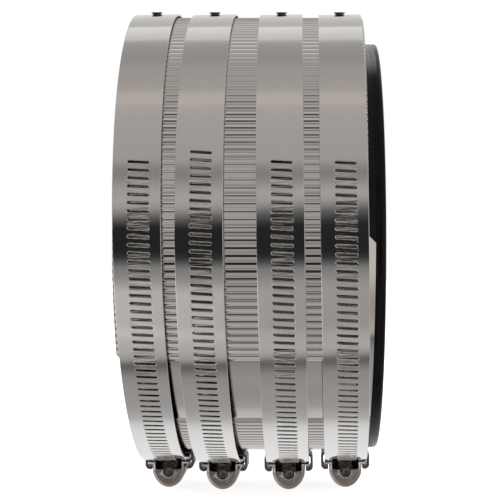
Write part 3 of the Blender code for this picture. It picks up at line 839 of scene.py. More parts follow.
def shield_finish(colour):
    """Bright rolled sheet: painted shade in its ribs' valleys, darker towards the bottom, and painted
    shade streaks on its tongue beside the two left straps.
    """
    material, looks = metal(
        "corrugated_steel", colour, roughness=(0.07, 0.12),
        lines=900.0, stretch=60.0, contrast=0.04, bump=0.12,
    )
    tree = material.node_tree
    # painted shade: the ribs' valleys darker than their crests
    valley_shade = blend_colour(tree, attribute(tree, "rib")["Fac"], VALLEY_SHADE, WHITE)
    coat = blend_colour(tree, 1.0, looks["Base Color"], valley_shade, "MULTIPLY")
    along, depth, height = axes(own_place(tree))
    # darker towards the bottom
    coat = blend_colour(tree, height.spread(*SHIELD_DARKENING_FROM) * 0.22, coat, BLACK)
    # painted shade: dark streaks on the tongue beside the two left straps, for the shade of the gap under
    # them
    below = STREAK_TOP - height
    within = (below > 0.0) * (depth < 0.0) * (below < STREAK_LENGTH)
    for edges in SHADE_STREAKS:
        start, stop = [below * drift + edge for drift, edge in zip(STREAK_DRIFTS, edges)]
        beyond = along - start
        share = (beyond / (stop - start)).clamped()
        close = beyond > -BAND_WIDTH / 2.0
        coat = blend_colour(tree, (1.0 - share.calc("POWER", 1.4)) * close * within * 0.8, coat, STRAP_GAP_SHADE)
    return finished(material, {**looks, "Base Color": coat})


def strap_finish(colour):
    """Polished strip, uneven where the punch bent it between its slots."""
    material, looks = metal(
        "polished_strap", colour, roughness=(0.05, 0.10),
        lines=1300.0, stretch=160.0, contrast=0.025, bump=0.08,
    )
    place = own_place(material.node_tree)
    across, depth, height = axes(place)
    punched = (across - SLOT_OFFSET).calc("ABSOLUTE").eased(*UNEVEN_HALF)
    punched = punched * height.eased(*UNEVEN_BELOW) * (depth < 0.0)
    dents = noise(stretched(place, (0.16, 1.0, 1.0)), DENT_SCALE, 2.0) - 0.5
    relief = bump_of(dents * punched, 1.0, DENT_DEPTH, looks["Normal"])
    return finished(material, {**looks, "Normal": relief})


def pressed_finish(name, colour):
    """Darker pressed steel, with a painted highlight, white and not metallic, on its flanges' cut ends
    and on the ring round the tip.
    """
    material, looks = metal(
        name, colour, roughness=(0.34, 0.48), lines=500.0, stretch=12.0, contrast=0.08, bump=0.3
    )
    tree = material.node_tree
    # painted highlight: white and not metallic where the mesh holds it
    painted_highlight = attribute(tree, "painted_highlight")["Fac"]
    coat = blend_colour(tree, painted_highlight, looks["Base Color"], HIGHLIGHT_COLOUR)
    return finished(material, {**looks, "Base Color": coat, "Metallic": 1.0 - painted_highlight})


def rubber_finish(colour):
    """Black moulded rubber: satin, with fine mould lines round it, and lighter on its top, partly dust
    and partly a painted sheen of the light from above.
    """
    material, tree = blank_material("moulded_rubber")
    place = own_place(tree)
    grain = group_node(tree, rolled_grain, {"Vector": place, "Lines per Metre": 700.0, "Stretch": 90.0})
    marks = group_node(tree, handling_marks, {"Vector": place, "Scale": 60.0})
    base = blend_colour(tree, marks["Smudge"], shade(colour, 0.85), shade(colour, 1.7))
    base = blend_colour(tree, marks["Specks"] * 0.25, base, RUBBER_SPECK)
    along, depth, height = axes(place)
    off_rim = along.eased(SLEEVE_LENGTH / 2.0 - SLEEVE_RIM, SLEEVE_LENGTH / 2.0 - 1.6 * SLEEVE_RIM)
    # lighter on the top: partly dust, partly a painted sheen of the light from above
    dust_and_sheen = height.eased(*RUBBER_DUST_AND_SHEEN_FROM) * off_rim * 0.8
    return finished(material, {
        "Base Color": blend_colour(tree, dust_and_sheen, base, RUBBER_DUST_AND_SHEEN),
        "Roughness": marks["Smudge"].spread(0.0, 1.0, 0.20, 0.27),
        "Specular IOR Level": 0.1,
        "Normal": bump_of(marks["Specks"] * 0.3 + grain["Lines"], 0.16, 0.05 * MM),
    })


# Places.

SLEEVE_DROP = VALLEY_RADIUS - SLEEVE_RADIUS - SEAT_GAP


def coupling_place():
    """Where the shield's middle lies, from the sleeve at the bottom of it."""
    low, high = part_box("gasket")
    return (low + high) / 2.0 - Vector((SLEEVE_SHIFT, 0.0, -SLEEVE_DROP))


def hanger(clamp):
    """The frame of a clamp, which has swung on its rivet: its -Z goes to the loop's middle."""
    pivot = on_circle(clamp["x"], CREST_RADIUS + SEAT_GAP, RIVET_ANGLE)
    top = Vector((clamp["x"], 0.0, CREST_RADIUS + SEAT_GAP))
    swung = Euler((0.0, radians(-clamp["lean"]), radians(-clamp["swing"]))).to_matrix().to_4x4()
    return Matrix.Translation(coupling_place() + pivot) @ swung @ Matrix.Translation(top - pivot)


def loop_radius_of(clamp):
    """The inner radius of a clamp's loop, from its slack."""
    return CREST_RADIUS + clamp["slack"] / 2.0


def housing_frames():
    """Where each housing stands: under its strap, with z 0 at the strap's outer face."""
    faces = [2.0 * loop_radius_of(clamp) + BAND_THICKNESS for clamp in CLAMPS]
    return [hanger(clamp) @ moved(0.0, 0.0, -face) for clamp, face in zip(CLAMPS, faces)]


def repeated(name, mesh, matrices, material, node):
    """One piece that holds the mesh at each of the matrices, on the coupling's body."""
    spots = bpy.data.meshes.new(f"{name}_spots")
    spots.from_pydata([matrix.translation for matrix in matrices], [], [])
    turned = spots.attributes.new("turned", "FLOAT_VECTOR", "POINT")
    turned.data.foreach_set("vector", [part for matrix in matrices for part in matrix.to_euler()])
    pattern = placed(f"{name}_pattern", mesh)
    helper = placed(f"{name}_helper", spots)
    shape_with(helper, repeated_piece, {"Piece": pattern, "Material": material})
    made = tidy_mesh(worked_out(helper, pattern))
    nodes = [f"{node}_{number}" for number in CLAMP_NUMBERS]
    dress(name, made, Matrix.Identity(4), material, "coupling", nodes)


# The pieces.

def make_shield(shapes, finishes):
    """The ribbed sheet."""
    material = shield_finish(finishes.shield)
    helper = placed("shield_helper", bpy.data.meshes.new("shield_seed"))
    shape_with(helper, ribbed_sheet, {
        "Samples per Rib": SAMPLES_PER_RIB, "Columns": SHEET_COLUMNS, "Ribs": RIB_COUNT,
        "Tongue Ribs": TONGUE_RIBS, "Rib Pitch": RIB_PITCH, "Rib Height": shapes.rib_height,
        "Outer End": OUTER_END, "Valley Radius": VALLEY_RADIUS, "Tongue Radius": TONGUE_RADIUS,
        "Width": SHIELD_WIDTH - SHEET_TRIM, "Skew": SHEET_SKEW, "Corner Cut": CORNER_CUT,
        "Rim Share": RIM_SHARE, "Rim Droop": RIM_DROOP, "Lap Droop": LAP_DROOP,
        "Thickness": SHEET_THICKNESS, "Material": material,
    })
    mesh = tidy_mesh(worked_out(helper), radians(50.0))
    matrix = Matrix.Translation(coupling_place())
    dress("ribbed_shield", mesh, matrix, material, "coupling", ["shield"])


def strap_section():
    """The strap's section: (x, height) points of the outer face, an edge, the inner face, an edge."""
    half = BAND_WIDTH / 2.0 - EDGE_RADIUS
    columns = [half * (2.0 * i / FACE_COLUMNS - 1.0) for i in range(FACE_COLUMNS + 1)]
    low, high = EDGE_RADIUS, BAND_THICKNESS - EDGE_RADIUS
    right = arc((half, high), EDGE_RADIUS, pi / 2.0, 0.0, EDGE_STEPS)[1:]
    right += arc((half, low), EDGE_RADIUS, 0.0, -pi / 2.0, EDGE_STEPS)[:-1]
    outer = [(x, BAND_THICKNESS) for x in columns]
    inner = [(x, 0.0) for x in reversed(columns)]
    return outer, right, inner, mirrored(right)


def section_rows(bm, stations, surface):
    """The strap's whole section at each station."""
    outer, right, inner, left = strap_section()
    section = outer + right + inner + left
    return [[bm.verts.new(surface(at, x, height)) for x, height in section] for at in stations]


def slot_shape(length, width, slant, offset):
    """A slanting slot with round ends, as (arc, x) points."""
    radius = width / 2.0
    straight = length / 2.0 - radius
    half = arc((straight, 0.0), radius, -pi / 2.0, pi / 2.0, 8)
    half += [(x, radius) for x in evenly(straight, -straight, length / 6.0)[1:-1]]
    outline = half + [(-x, -a) for x, a in half]
    return [(a + x * slant, x + offset) for x, a in outline]


def grown(outline, amount):
    """The outline moved outwards by an amount that is uneven along it."""
    count = len(outline)
    middle = Vector((sum(a for a, x in outline) / count, sum(x for a, x in outline) / count))
    result = []
    for i, point in enumerate(outline):
        along = (Vector(outline[(i + 1) % count]) - Vector(outline[i - 1])).normalized()
        reach = amount * (1.0 + LIP_UNEVENNESS * sin(2.3 * i))
        normal = Vector((along.y, -along.x))
        if normal.dot(Vector(point) - middle) < 0.0:
            normal = -normal
        result.append(tuple(Vector(point) + normal * reach))
    return result


def lip_steps(reach):
    """The bent rim of a punched hole, as (distance outside the hole, depth) from the face inwards."""
    return [(reach, 0.0), (0.55 * reach, 0.04 * reach), (0.22 * reach, 0.14 * reach), (0.0, 0.42 * reach)]


def perforated_cell(bm, half, surface, outline, reach):
    """A short length of strap round a station with a hole in it, open at both ends."""
    rows = section_rows(bm, (-half, half), surface)
    outer, right, inner, left = strap_section()
    section = outer + right + inner + left
    inner_start = len(outer) + len(right)
    inner_stop = inner_start + len(inner)
    for i in [*range(len(outer) - 1, inner_start), *range(inner_stop - 1, len(section))]:
        j = (i + 1) % len(section)
        bm.faces.new((rows[0][i], rows[0][j], rows[1][j], rows[1][i]))
    sinks = [(distance, BAND_THICKNESS - depth) for distance, depth in lip_steps(reach)]
    sinks += [(0.0, BURR), (BURR, 0.0)]
    loops = []
    for distance, height in sinks:
        loops.append([bm.verts.new(surface(a, x, height)) for a, x in grown(outline, distance)])
    joined_rows(bm, loops)
    faces = ((0, len(outer), reach, loops[0]), (inner_start, inner_stop, BURR, loops[-1]))
    for start, stop, distance, loop in faces:
        edge = [(-half, section[i][0]) for i in range(start, stop)]
        edge += [(half, section[i][0]) for i in reversed(range(start, stop))]
        verts = rows[0][start:stop] + rows[1][start:stop][::-1] + loop
        flat = [[Vector((a, x, 0.0)) for a, x in points] for points in (edge, grown(outline, distance))]
        for triangle in tessellate_polygon(flat):
            bm.faces.new([verts[i] for i in triangle])


def plain_run(bm, stations, surface, capped=None):
    """A plain length of strap through stations; capped names the number of the row that is an end."""
    rows = section_rows(bm, stations, surface)
    joined_rows(bm, rows)
    if capped is not None:
        bm.faces.new(rows[capped])


def make_strap(number, clamp, shapes, material):
    """One slotted strap, rolled to a loop whose fixed end lies under its slotted end."""
    radius = loop_radius_of(clamp)
    overlap = BAND_THICKNESS + SEAT_GAP
    lap_start = BOTTOM + HOUSING_HALF / radius
    lap_end = lap_start + LAP_RISE / radius
    inside = (HOUSING_HALF - HOUSING_WALL - TAIL_MARGIN) / radius
    pitch = shapes.slot_pitch / radius
    first_slot = tau - radians(clamp["slots_from"])
    tail_end = tau + BOTTOM + inside
    slots = int((tail_end - first_slot - shapes.slot_width / radius) / pitch)
    hole_radius = RIVET_SHANK_RADIUS + SEAT_GAP
    hole_half = 2.0 * hole_radius / radius
    drop = radius - CREST_RADIUS - SEAT_GAP
    rivet = tau - RIVET_ANGLE - asin(drop * cos(RIVET_ANGLE) / radius)

    def surface(turn, x, height):
        risen = smooth_step((turn - lap_start) * radius / LAP_RISE)
        return on_circle(x, radius - overlap * (1.0 - risen) + height, -turn)

    def at_front(arc_length, x, height):
        return on_circle(x, radius + height, -arc_length / radius)

    def at_rivet(arc_length, x, height):
        return on_circle(x, radius + height, -rivet - arc_length / radius)

    plain = bmesh.new()
    run = evenly(BOTTOM - inside, lap_start, STRAP_STEP)[:-1]
    run += evenly(lap_start, lap_end, STRAP_STEP / 2.0)[:-1]
    plain_run(plain, run + evenly(lap_end, rivet - hole_half, STRAP_STEP), surface, 0)
    hole = arc((0.0, 0.0), hole_radius, 0.0, tau, 20)[:-1]
    perforated_cell(plain, hole_half * radius, at_rivet, hole, RIVET_HOLE_LIP)
    plain_run(plain, evenly(rivet + hole_half, first_slot - pitch / 2.0, STRAP_STEP), surface)
    plain_run(plain, evenly(first_slot + pitch * (slots - 0.5), tail_end, STRAP_STEP), surface, -1)

    cell = bmesh.new()
    outline = slot_shape(shapes.slot_length, shapes.slot_width, SLOT_SLANT, SLOT_OFFSET)
    perforated_cell(cell, shapes.slot_pitch / 2.0, at_front, outline, shapes.slot_lip)

    pattern = placed("slot_cell", mesh_from("slot_cell", cell))
    helper = placed("strap_helper", mesh_from("strap_plain", plain))
    shape_with(helper, slotted_strap, {
        "Cell": pattern, "Slots": slots, "First Turn": first_slot, "Pitch Turn": pitch,
        "Material": material,
    })
    mesh = rolled_normals(tidy_mesh(worked_out(helper, pattern), radians(60.0)), radius + BAND_THICKNESS)
    matrix = hanger(clamp) @ moved(0.0, 0.0, -radius - STRAP_SETTLE)
    dress(f"strap_{number}", mesh, matrix, material, "coupling", [f"band_{number}"])


def make_straps(shapes, finishes):
    """The four slotted straps."""
    material = strap_finish(finishes.strap)
    for number, clamp in zip(CLAMP_NUMBERS, CLAMPS):
        make_strap(number, clamp, shapes, material)


def sleeve_profile():
    """The rubber sleeve's wall as (along, radius) points, with soft rims, seals and the pipe stop."""
    half = SLEEVE_LENGTH / 2.0
    stop = STOP_WIDTH / 2.0
    crest = SLEEVE_BORE_RADIUS - STOP_HEIGHT
    stop_rounding = 0.6 * MM
    inner_rim = 0.5 * MM
    plain_half = 12.0 * MM
    points = [(0.0, crest)]
    points += arc((stop - stop_rounding, crest + stop_rounding), stop_rounding, -pi / 2.0, 0.0, 4)
    points += [(stop, SLEEVE_BORE_RADIUS - inner_rim), (stop + inner_rim, SLEEVE_BORE_RADIUS)]
    for number in range(SEALS_EACH_SIDE):
        middle = stop + SEAL_SPACING * (number + 1)
        for i in range(13):
            share = i / 6.0 - 1.0
            height = SEAL_HEIGHT * (0.5 + 0.5 * cos(pi * share))
            points.append((middle + share * SEAL_WIDTH / 2.0, SLEEVE_BORE_RADIUS - height))
    points += arc((half - inner_rim, SLEEVE_BORE_RADIUS + inner_rim), inner_rim, -pi / 2.0, 0.0, 4)
    points += arc((half - SLEEVE_RIM, SLEEVE_RADIUS - SLEEVE_RIM), SLEEVE_RIM, 0.0, pi / 2.0, 8)
    for from_end in SLEEVE_GROOVES:
        at = half - from_end
        points += [(at + GROOVE_HALF, SLEEVE_RADIUS), (at, SLEEVE_RADIUS - GROOVE_DEPTH)]
        points.append((at - GROOVE_HALF, SLEEVE_RADIUS))
    right = points + [(plain_half, SLEEVE_RADIUS)]
    return right + mirrored(right[1:])


def make_sleeve(shapes, finishes):
    """The rubber sleeve, lying at the bottom of the shield."""
    mesh = tidy_mesh(turned_piece("sleeve", sleeve_profile(), 144, on_circle), radians(40.0))
    matrix = Matrix.Translation(coupling_place() + Vector((SLEEVE_SHIFT, 0.0, -SLEEVE_DROP)))
    material = rubber_finish(finishes.rubber)
    dress("rubber_sleeve", mesh, matrix, material, "coupling", ["gasket"])


def dome_line(scale, count=36):
    """The housing's dome from its left foot down and round to its right: (x, z) points."""
    points = []
    for i in range(count + 1):
        turn = pi * i / count
        x = -HOUSING_RADIUS * cos(turn)
        depth = HOUSING_RADIUS * sin(turn) ** (2.0 / DOME_POWER)
        points.append((x * scale, -SCREW_RISE - depth * scale))
    return points


def housing_block():
    """The solid the housing is cut from: flanges with thinned ends over a dome with rounded ends."""
    low = -SEAT_GAP
    flange_half = BAND_WIDTH / 2.0
    steps = 7
    stations = []
    for i in range(steps + 1):
        turn = pi / 2.0 * i / steps
        share = 1.0 - cos(turn)
        inset = DOME_ROUNDING * (1.0 - sin(turn))
        thickness = FLANGE_END + (HOUSING_WALL - FLANGE_END) * share
        stations.append((HOUSING_HALF - DOME_ROUNDING * share, inset, thickness))
    bm = bmesh.new()
    rings = []
    for y, inset, thickness in [(-y, inset, thick) for y, inset, thick in stations] + stations[::-1]:
        shrink = 1.0 - inset / HOUSING_RADIUS
        foot = HOUSING_RADIUS * shrink
        under = low - thickness
        flatter = 1.0 - inset / HOUSING_DEPTH
        dome = [(x * shrink, under + (z - under) * flatter) for x, z in dome_line(1.0)]
        ring = [(-flange_half, low), (-flange_half, under), (-foot, under)]
        ring += dome + [(foot, under), (flange_half, under), (flange_half, low)]
        rings.append([bm.verts.new((x, y, z)) for x, z in ring])
    joined_rows(bm, rings)
    for ring in (rings[0], rings[-1]):
        bm.faces.new(ring)
    bmesh.ops.recalc_face_normals(bm, faces=bm.faces)
    return mesh_from("housing_block", bm)


def tip_ring():
    """The raised ring round the screw's tip in the housing's end wall."""
    def around_tip(along, radius, turn):
        return Vector((radius * cos(turn), along, radius * sin(turn) - SCREW_RISE))

    wall = -HOUSING_HALF
    crown = TIP_RING_CROWN
    middle = TIP_SEEN + RUNNING_GAP + crown
    profile = [(wall + crown, middle - crown + 0.02 * MM), (wall + crown, middle + crown)]
    profile += [(wall - along, middle + reach) for reach, along in arc((0.0, 0.0), crown, 0.0, pi, 8)]
    return turned_piece("tip_ring", profile, 40, around_tip)


def housing_mesh(rounding):
    """The pressed housing. Its z is 0 at the strap's outer face and falls away from the strap."""
    inner = HOUSING_RADIUS - HOUSING_WALL
    axis = (0.0, -SCREW_RISE)
    above = SEAT_GAP
    wall_inside = HOUSING_HALF - HOUSING_WALL
    past = HOUSING_HALF + HOUSING_WALL
    cavity = [(-inner, above)] + dome_line(inner / HOUSING_RADIUS) + [(inner, above)]
    side = [(DOOR_HALF, above)] + [(share * DOOR_HALF, END_BROW + rise) for share, rise in DOOR_CORNER]
    mouth = side + arc(axis, TIP_COLLAR, COLLAR_START, pi - COLLAR_START, 14) + mirrored(side)
    plain_mouth = [(-inner, above), (-inner, -END_WALL_EDGE), (inner, -END_WALL_EDGE), (inner, above)]
    notch = arc(axis, NECK_RADIUS + RUNNING_GAP, pi, tau, 16)
    notch += [(notch[-1][0], above), (notch[0][0], above)]
    cutters = [
        drawn_out("hollow", cavity, -wall_inside, wall_inside),
        drawn_out("doorway", mouth, -past, 0.0),
        drawn_out("far_doorway", plain_mouth, 0.0, past),
        drawn_out("tip_hole", arc(axis, TIP_SEEN + RUNNING_GAP, 0.0, tau, 32)[:-1], -past, 0.0),
        drawn_out("neck_notch", notch, 0.0, past),
    ]
    mesh = cut_and_rounded("housing", housing_block(), cutters, rounding, [tip_ring()])
    # painted highlight: full on the flanges' ends beside the doorway, part of it on the ring round the
    # tip
    painted_highlight = mesh.attributes.new("painted_highlight", "FLOAT", "POINT")
    for vertex in mesh.vertices:
        x, y, z = vertex.co
        beside_door = HIGHLIGHT_ENDS[0] < abs(x) < HIGHLIGHT_ENDS[1]
        at_end = y < -HOUSING_HALF + 0.3 * MM and z > -1.0 * MM and beside_door
        on_ring = y < -HOUSING_HALF - 0.1 * MM
        painted_highlight.data[vertex.index].value = 1.0 if at_end else RING_HIGHLIGHT if on_ring else 0.0
    return mesh


def strip_outline(points, thickness):
    """The closed outline of a strip of one thickness that follows a line of points."""
    sides = ([], [])
    count = len(points)
    for i, point in enumerate(points):
        here = Vector(point)
        before = Vector(points[max(i - 1, 0)])
        after = Vector(points[min(i + 1, count - 1)])
        incoming = (here - before).normalized() if i > 0 else (after - here).normalized()
        outgoing = (after - here).normalized() if i < count - 1 else incoming
        normal = Vector((-incoming.y, incoming.x))
        mitre = (normal + Vector((-outgoing.y, outgoing.x))).normalized()
        reach = thickness / 2.0 / max(0.2, mitre.dot(normal))
        sides[0].append(tuple(here + mitre * reach))
        sides[1].append(tuple(here - mitre * reach))
    return sides[0] + sides[1][::-1]


def saddle_mesh(loop_radius, rounding):
    """The saddle: a base inside the strap, two sides and lips curled over the housing's flanges."""
    half_thickness = SADDLE_THICKNESS / 2.0
    curve_rise = (SADDLE_LENGTH / 2.0) ** 2 / (2.0 * loop_radius)
    layers = 2.0 * BAND_THICKNESS + 2.0 * SEAT_GAP
    base = layers + curve_rise + half_thickness
    side = BAND_WIDTH / 2.0 + SADDLE_SIDE_GAP + half_thickness
    bend = (side - SADDLE_BEND_RADIUS, base - SADDLE_BEND_RADIUS)
    right = arc(bend, SADDLE_BEND_RADIUS, pi / 2.0, 0.0, 6)
    right += arc((side - LIP_RADIUS, LIP_HEIGHT), LIP_RADIUS, 0.0, -LIP_TURN, 10)
    section = strip_outline(mirrored(right) + right, SADDLE_THICKNESS)
    body = drawn_out("saddle", section, -SADDLE_LENGTH / 2.0, SADDLE_LENGTH / 2.0)
    return cut_and_rounded("saddle", body, [], rounding)


def make_housings(shapes, finishes):
    """The four pressed housings and the four saddles that grip them."""
    material = pressed_finish("pressed_steel", finishes.pressed)
    # painted shade: the saddles get a darker copy of the same pressed steel, for the shade they sit in
    # under the straps
    shaded_pressed = pressed_finish("shaded_pressed_steel", [0.6 * part for part in finishes.pressed])
    frames = housing_frames()
    repeated("housings", housing_mesh(shapes.edge_rounding), frames, material, "housing")
    for number, clamp, place in zip(CLAMP_NUMBERS, CLAMPS, frames):
        mesh = saddle_mesh(loop_radius_of(clamp), shapes.edge_rounding)
        node = [f"saddle_{number}"]
        dress(f"folded_saddle_{number}", mesh, place, shaded_pressed, "coupling", node)


def screw_bar():
    """The screw without its worm: a tip with a rolled rim, a neck and a hexagon head."""
    bm = bmesh.new()
    front = -HOUSING_HALF
    worm_start = front + HOUSING_WALL + SEAT_GAP
    worm_stop = worm_start + WORM_LENGTH
    head_start = HOUSING_HALF + SEAT_GAP
    head_stop = head_start + HEAD_HEIGHT
    chamfer = head_stop - HEAD_CHAMFER
    root = THREAD_RADIUS - THREAD_DEPTH
    flat = HEAD_ACROSS_FLATS / 2.0
    corner = HEAD_ACROSS_FLATS

    def ring(y, limit, scale=1.0):
        """The head's hexagon cut off by a circle, which is all that is left of it inside its flats."""
        points = []
        for i in range(WORM_FACETS):
            turn = tau * i / WORM_FACETS
            radius = min(limit, scale * flat / cos((turn + pi / 6.0) % (pi / 3.0) - pi / 6.0))
            points.append(bm.verts.new((radius * cos(turn), y, radius * sin(turn))))
        return points

    tip = [ring(front + inset, radius) for inset, radius in TIP_PROFILE]
    tip += [ring(worm_start, TIP_SEEN), ring(worm_start, root)]
    head = [ring(worm_stop, root), ring(worm_stop, NECK_RADIUS), ring(head_start, NECK_RADIUS)]
    head += [ring(head_start, corner, HEAD_FOOT_SHARE), ring(head_start + HEAD_FOOT_HEIGHT, corner)]
    head.append(ring(chamfer - HEAD_CORNER_DROP, corner))
    head += [ring(chamfer + share * HEAD_CHAMFER, flat + beyond) for share, beyond in HEAD_CROWN]
    for rings, end in ((tip, tip[0]), (head, head[-1])):
        joined_rows(bm, rings)
        bm.faces.new(end)
    return mesh_from("screw_bar", bm), worm_start, head_stop


def make_screws(shapes, finishes):
    """The four worm screws, each on its own body."""
    material = finished(*metal(
        "screw_steel", finishes.screw, roughness=(0.22, 0.36),
        lines=600.0, stretch=8.0, contrast=0.12, bump=0.4,
    ))
    bar, worm_start, head_stop = screw_bar()
    helper = placed("screw_helper", bar)
    shape_with(helper, worm_thread, {
        "Rows": WORM_ROWS, "Facets": WORM_FACETS, "Start": worm_start, "Length": WORM_LENGTH,
        "Pitch": shapes.slot_pitch, "Root Radius": THREAD_RADIUS - THREAD_DEPTH, "Depth": THREAD_DEPTH,
        "Material": material,
    })
    bar = tidy_mesh(worked_out(helper))
    half = HEAD_SLOT_WIDTH / 2.0
    reach = HEAD_ACROSS_FLATS
    groove = [(-reach, -half), (reach, -half), (reach, half), (-reach, half)]
    slot = drawn_out("driver_slot", groove, head_stop - HEAD_SLOT_DEPTH, head_stop + HEAD_SLOT_DEPTH)
    screw = cut_and_rounded("screw", bar, [slot], 0.0)
    for number, place in zip(CLAMP_NUMBERS, housing_frames()):
        matrix = place @ moved(0.0, 0.0, -SCREW_RISE)
        body = f"worm_screw_{number}"
        dress(f"worm_{number}", screw.copy(), matrix, material, body, [f"screw_{number}"])


def make_rivets(shapes, finishes):
    """The four hollow rivets."""
    material = finished(*metal(
        "dark_rivet", finishes.rivet, roughness=(0.25, 0.4),
        lines=500.0, stretch=4.0, contrast=0.15, bump=0.4,
    ))
    band_top = SEAT_GAP + BAND_THICKNESS + 0.03 * MM
    shield_under = -(RIB_HEIGHT + SHEET_THICKNESS + SEAT_GAP)
    lip = (RIVET_TOP - band_top) / 4.0
    collar = RIVET_TOP - 2.0 * lip
    low_lip = RIVET_FLANGE_HEIGHT / 2.0
    low_mouth = shield_under - low_lip
    profile = [(shield_under, RIVET_SHANK_RADIUS), (band_top, RIVET_SHANK_RADIUS)]
    profile += [(band_top, RIVET_COLLAR_RADIUS), (collar - 0.05 * MM, RIVET_COLLAR_RADIUS - 0.1 * MM)]
    profile += arc((collar + lip, RIVET_FLANGE_RADIUS - lip), lip, pi, 0.0, 8)
    profile += arc((RIVET_TOP - lip, RIVET_BORE_RADIUS + lip), lip, 0.0, -pi / 2.0, 4)
    profile += arc((low_mouth, RIVET_BORE_RADIUS + low_lip), low_lip, -pi / 2.0, -pi, 4)
    profile += arc((low_mouth, RIVET_FLANGE_RADIUS - low_lip), low_lip, pi, 0.0, 8)

    def upright(along, radius, turn):
        return Vector((radius * cos(turn), radius * sin(turn), along))

    mesh = tidy_mesh(turned_piece("rivet", profile, 32, upright))
    tilted = Matrix.Translation(coupling_place()) @ Matrix.Rotation(RIVET_TILT, 4, "X")
    seats = [tilted @ moved(clamp["x"], 0.0, CREST_RADIUS) for clamp in CLAMPS]
    repeated("eyelets", mesh, seats, material, "eyelet")


# The studio.

def make_camera():
    """The camera that took the photograph: level, looking along +Y, its frame moved to the left."""
    data = bpy.data.cameras.new("camera")
    data.sensor_width = 36.0
    data.lens = FOCAL_LENGTH
    data.shift_x = FRAME_SHIFT
    data.clip_start = 0.01
    data.clip_end = 20.0
    camera = placed("camera", data)
    camera.location = coupling_place() + CAMERA_FROM_COUPLING
    camera.rotation_euler = (radians(90.0), 0.0, 0.0)
    bpy.context.scene.camera = camera


def panel_ramp(angle, panels):
    """The panels as a ramp over half a turn."""
    ramp = add_node(angle.tree, "ShaderNodeValToRGB", {"Fac": angle / 180.0})
    elements = ramp.node.color_ramp.elements
    elements[1].position = 1.0
    while len(elements) < len(panels):
        elements.new(0.5)
    for element, (place, brightness, warmth) in zip(elements, panels):
        element.position = place / 180.0
    for element, (place, brightness, warmth) in zip(elements, panels):
        tint = [1.0 + warmth * (part - 1.0) for part in WARM_TINT]
        element.color = (*[brightness * part for part in tint], 1.0)
    return ramp


def make_world():
    """The studio as a world: panels by height round the object, and white behind it."""
    world = bpy.data.worlds.new("studio")
    bpy.context.scene.world = world
    world.use_nodes = True
    tree = world.node_tree
    tree.nodes.clear()
    side, depth, height = axes(add_node(tree, "ShaderNodeTexCoord")["Generated"])
    turn = height.calc("ARCTAN2", -depth) * degrees(1.0)
    above_lean, below_lean = [turn.window(rise, fall) * lean for rise, fall, lean in PANEL_LEANS]
    turn = turn - side * (above_lean + below_lean)
    below, above = panel_ramp(-turn, PANELS_BELOW), panel_ramp(turn, PANELS_ABOVE)
    panels = blend_colour(tree, turn > 0.0, below, above)
    gain = (-side).calc("MAXIMUM", 0.0) * turn.window(*LEFT_SHEET) * LEFT_SHEET_GAIN + 1.0
    panels = add_node(tree, "ShaderNodeVectorMath", {0: panels, 3: gain}, operation="SCALE")
    on_right = side.eased(*RIGHT_SHEET_EDGE) * turn.window(*RIGHT_SHEET)
    panels = blend_colour(tree, on_right, panels, RIGHT_SHEET_COLOUR)
    studio, white = [
        add_node(tree, "ShaderNodeBackground", {"Color": colour, "Strength": 1.0})
        for colour in (panels, WHITE)
    ]
    seen = add_node(tree, "ShaderNodeLightPath")["Is Camera Ray"]
    both = add_node(tree, "ShaderNodeMixShader", {0: seen, 1: studio, 2: white})
    add_node(tree, "ShaderNodeOutputWorld", {"Surface": both})


def make_floor():
    """The pale floor: white where it is seen, with the object's soft shadow."""
    bm = bmesh.new()
    corners = ((-1.0, -1.0), (1.0, -1.0), (1.0, 1.0), (-1.0, 1.0))
    bm.faces.new([bm.verts.new((FLOOR_REACH * x, FLOOR_REACH * y, 0.0)) for x, y in corners])
    floor = placed("floor", mesh_from("floor", bm))
    material, tree = blank_material("studio_floor")
    tree.nodes.clear()
    lit = add_node(tree, "ShaderNodeBsdfDiffuse", {"Color": FLOOR_GREY})
    glow = add_node(tree, "ShaderNodeEmission", {"Color": WHITE, "Strength": FLOOR_GLOW})
    bright = add_node(tree, "ShaderNodeAddShader", {0: lit, 1: glow})
    path = add_node(tree, "ShaderNodeLightPath")
    clear = add_node(tree, "ShaderNodeBsdfTransparent")
    seen = add_node(tree, "ShaderNodeMixShader", {0: path["Is Camera Ray"], 1: lit, 2: bright})
    mixed = add_node(tree, "ShaderNodeMixShader", {0: path["Is Glossy Ray"], 1: seen, 2: clear})
    add_node(tree, "ShaderNodeOutputMaterial", {"Surface": mixed})
    floor.data.materials.append(material)


def make_lamp(name, place, size, power):
    """A large soft lamp that faces the coupling."""
    data = bpy.data.lights.new(name, "AREA")
    data.shape = "SQUARE"
    data.size = size
    data.energy = power
    lamp = placed(name, data)
    lamp.location = place
    toward = coupling_place() - Vector(place)
    lamp.rotation_euler = toward.to_track_quat("-Z", "Y").to_euler()
    lamp.visible_glossy = False


def make_stage():
    """The camera, the world, the floor and two soft lamps."""
    bpy.context.scene.view_settings.view_transform = "Standard"
    make_camera()
    make_world()
    make_floor()
    for lamp in LAMPS:
        make_lamp(*lamp)


# Operators and panel.

class COUPLING_OT_stage(Operator):
    """Sets up the camera, the studio light and the floor"""

    bl_idname = "coupling.stage"
    bl_label = "Studio"
    bl_options = {"REGISTER", "UNDO"}

    def execute(self, context):
        make_stage()
        return {"FINISHED"}


class PieceOperator:
    """Runs one maker with the scene's sizes and colours."""

    bl_options = {"REGISTER", "UNDO"}
    maker = None

    def execute(self, context):
        type(self).maker(context.scene.coupling_shapes, context.scene.coupling_finishes)
        return {"FINISHED"}


class COUPLING_OT_shield(PieceOperator, Operator):
    """Makes the ribbed shield"""

    bl_idname = "coupling.shield"
    bl_label = "Shield"
    maker = make_shield


class COUPLING_OT_sleeve(PieceOperator, Operator):
    """Makes the rubber sleeve"""

    bl_idname = "coupling.sleeve"
    bl_label = "Sleeve"
    maker = make_sleeve


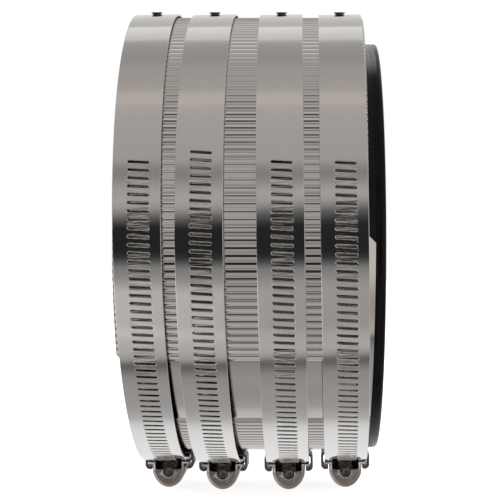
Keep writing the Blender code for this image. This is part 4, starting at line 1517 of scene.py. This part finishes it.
class COUPLING_OT_straps(PieceOperator, Operator):
    """Makes the slotted straps"""

    bl_idname = "coupling.straps"
    bl_label = "Straps"
    maker = make_straps


class COUPLING_OT_housings(PieceOperator, Operator):
    """Makes the housings and their saddles"""

    bl_idname = "coupling.housings"
    bl_label = "Housings"
    maker = make_housings


class COUPLING_OT_screws(PieceOperator, Operator):
    """Makes the worm screws"""

    bl_idname = "coupling.screws"
    bl_label = "Screws"
    maker = make_screws


class COUPLING_OT_rivets(PieceOperator, Operator):
    """Makes the rivets"""

    bl_idname = "coupling.rivets"
    bl_label = "Rivets"
    maker = make_rivets


OPERATORS = (
    COUPLING_OT_stage, COUPLING_OT_shield, COUPLING_OT_sleeve, COUPLING_OT_straps,
    COUPLING_OT_housings, COUPLING_OT_screws, COUPLING_OT_rivets,
)


class VIEW3D_PT_coupling(Panel):
    """Lists the coupling's pieces, sizes and colours"""

    bl_label = "No-hub coupling"
    bl_space_type = "VIEW_3D"
    bl_region_type = "UI"
    bl_category = "Coupling"

    def draw(self, context):
        for operator in OPERATORS:
            self.layout.operator(operator.bl_idname)
        for settings in (context.scene.coupling_shapes, context.scene.coupling_finishes):
            for name in settings.__annotations__:
                self.layout.prop(settings, name)


CLASSES = (CouplingShapes, CouplingFinishes, *OPERATORS, VIEW3D_PT_coupling)


def register():
    for item in CLASSES:
        bpy.utils.register_class(item)
    bpy.types.Scene.coupling_shapes = PointerProperty(type=CouplingShapes)
    bpy.types.Scene.coupling_finishes = PointerProperty(type=CouplingFinishes)


def unregister():
    del bpy.types.Scene.coupling_finishes
    del bpy.types.Scene.coupling_shapes
    for item in reversed(CLASSES):
        bpy.utils.unregister_class(item)


def main():
    register()
    bpy.ops.coupling.stage()
    bpy.ops.coupling.shield()
    bpy.ops.coupling.sleeve()
    bpy.ops.coupling.straps()
    bpy.ops.coupling.housings()
    bpy.ops.coupling.screws()
    bpy.ops.coupling.rivets()
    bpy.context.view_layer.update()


if __name__ == "__main__":
    main()
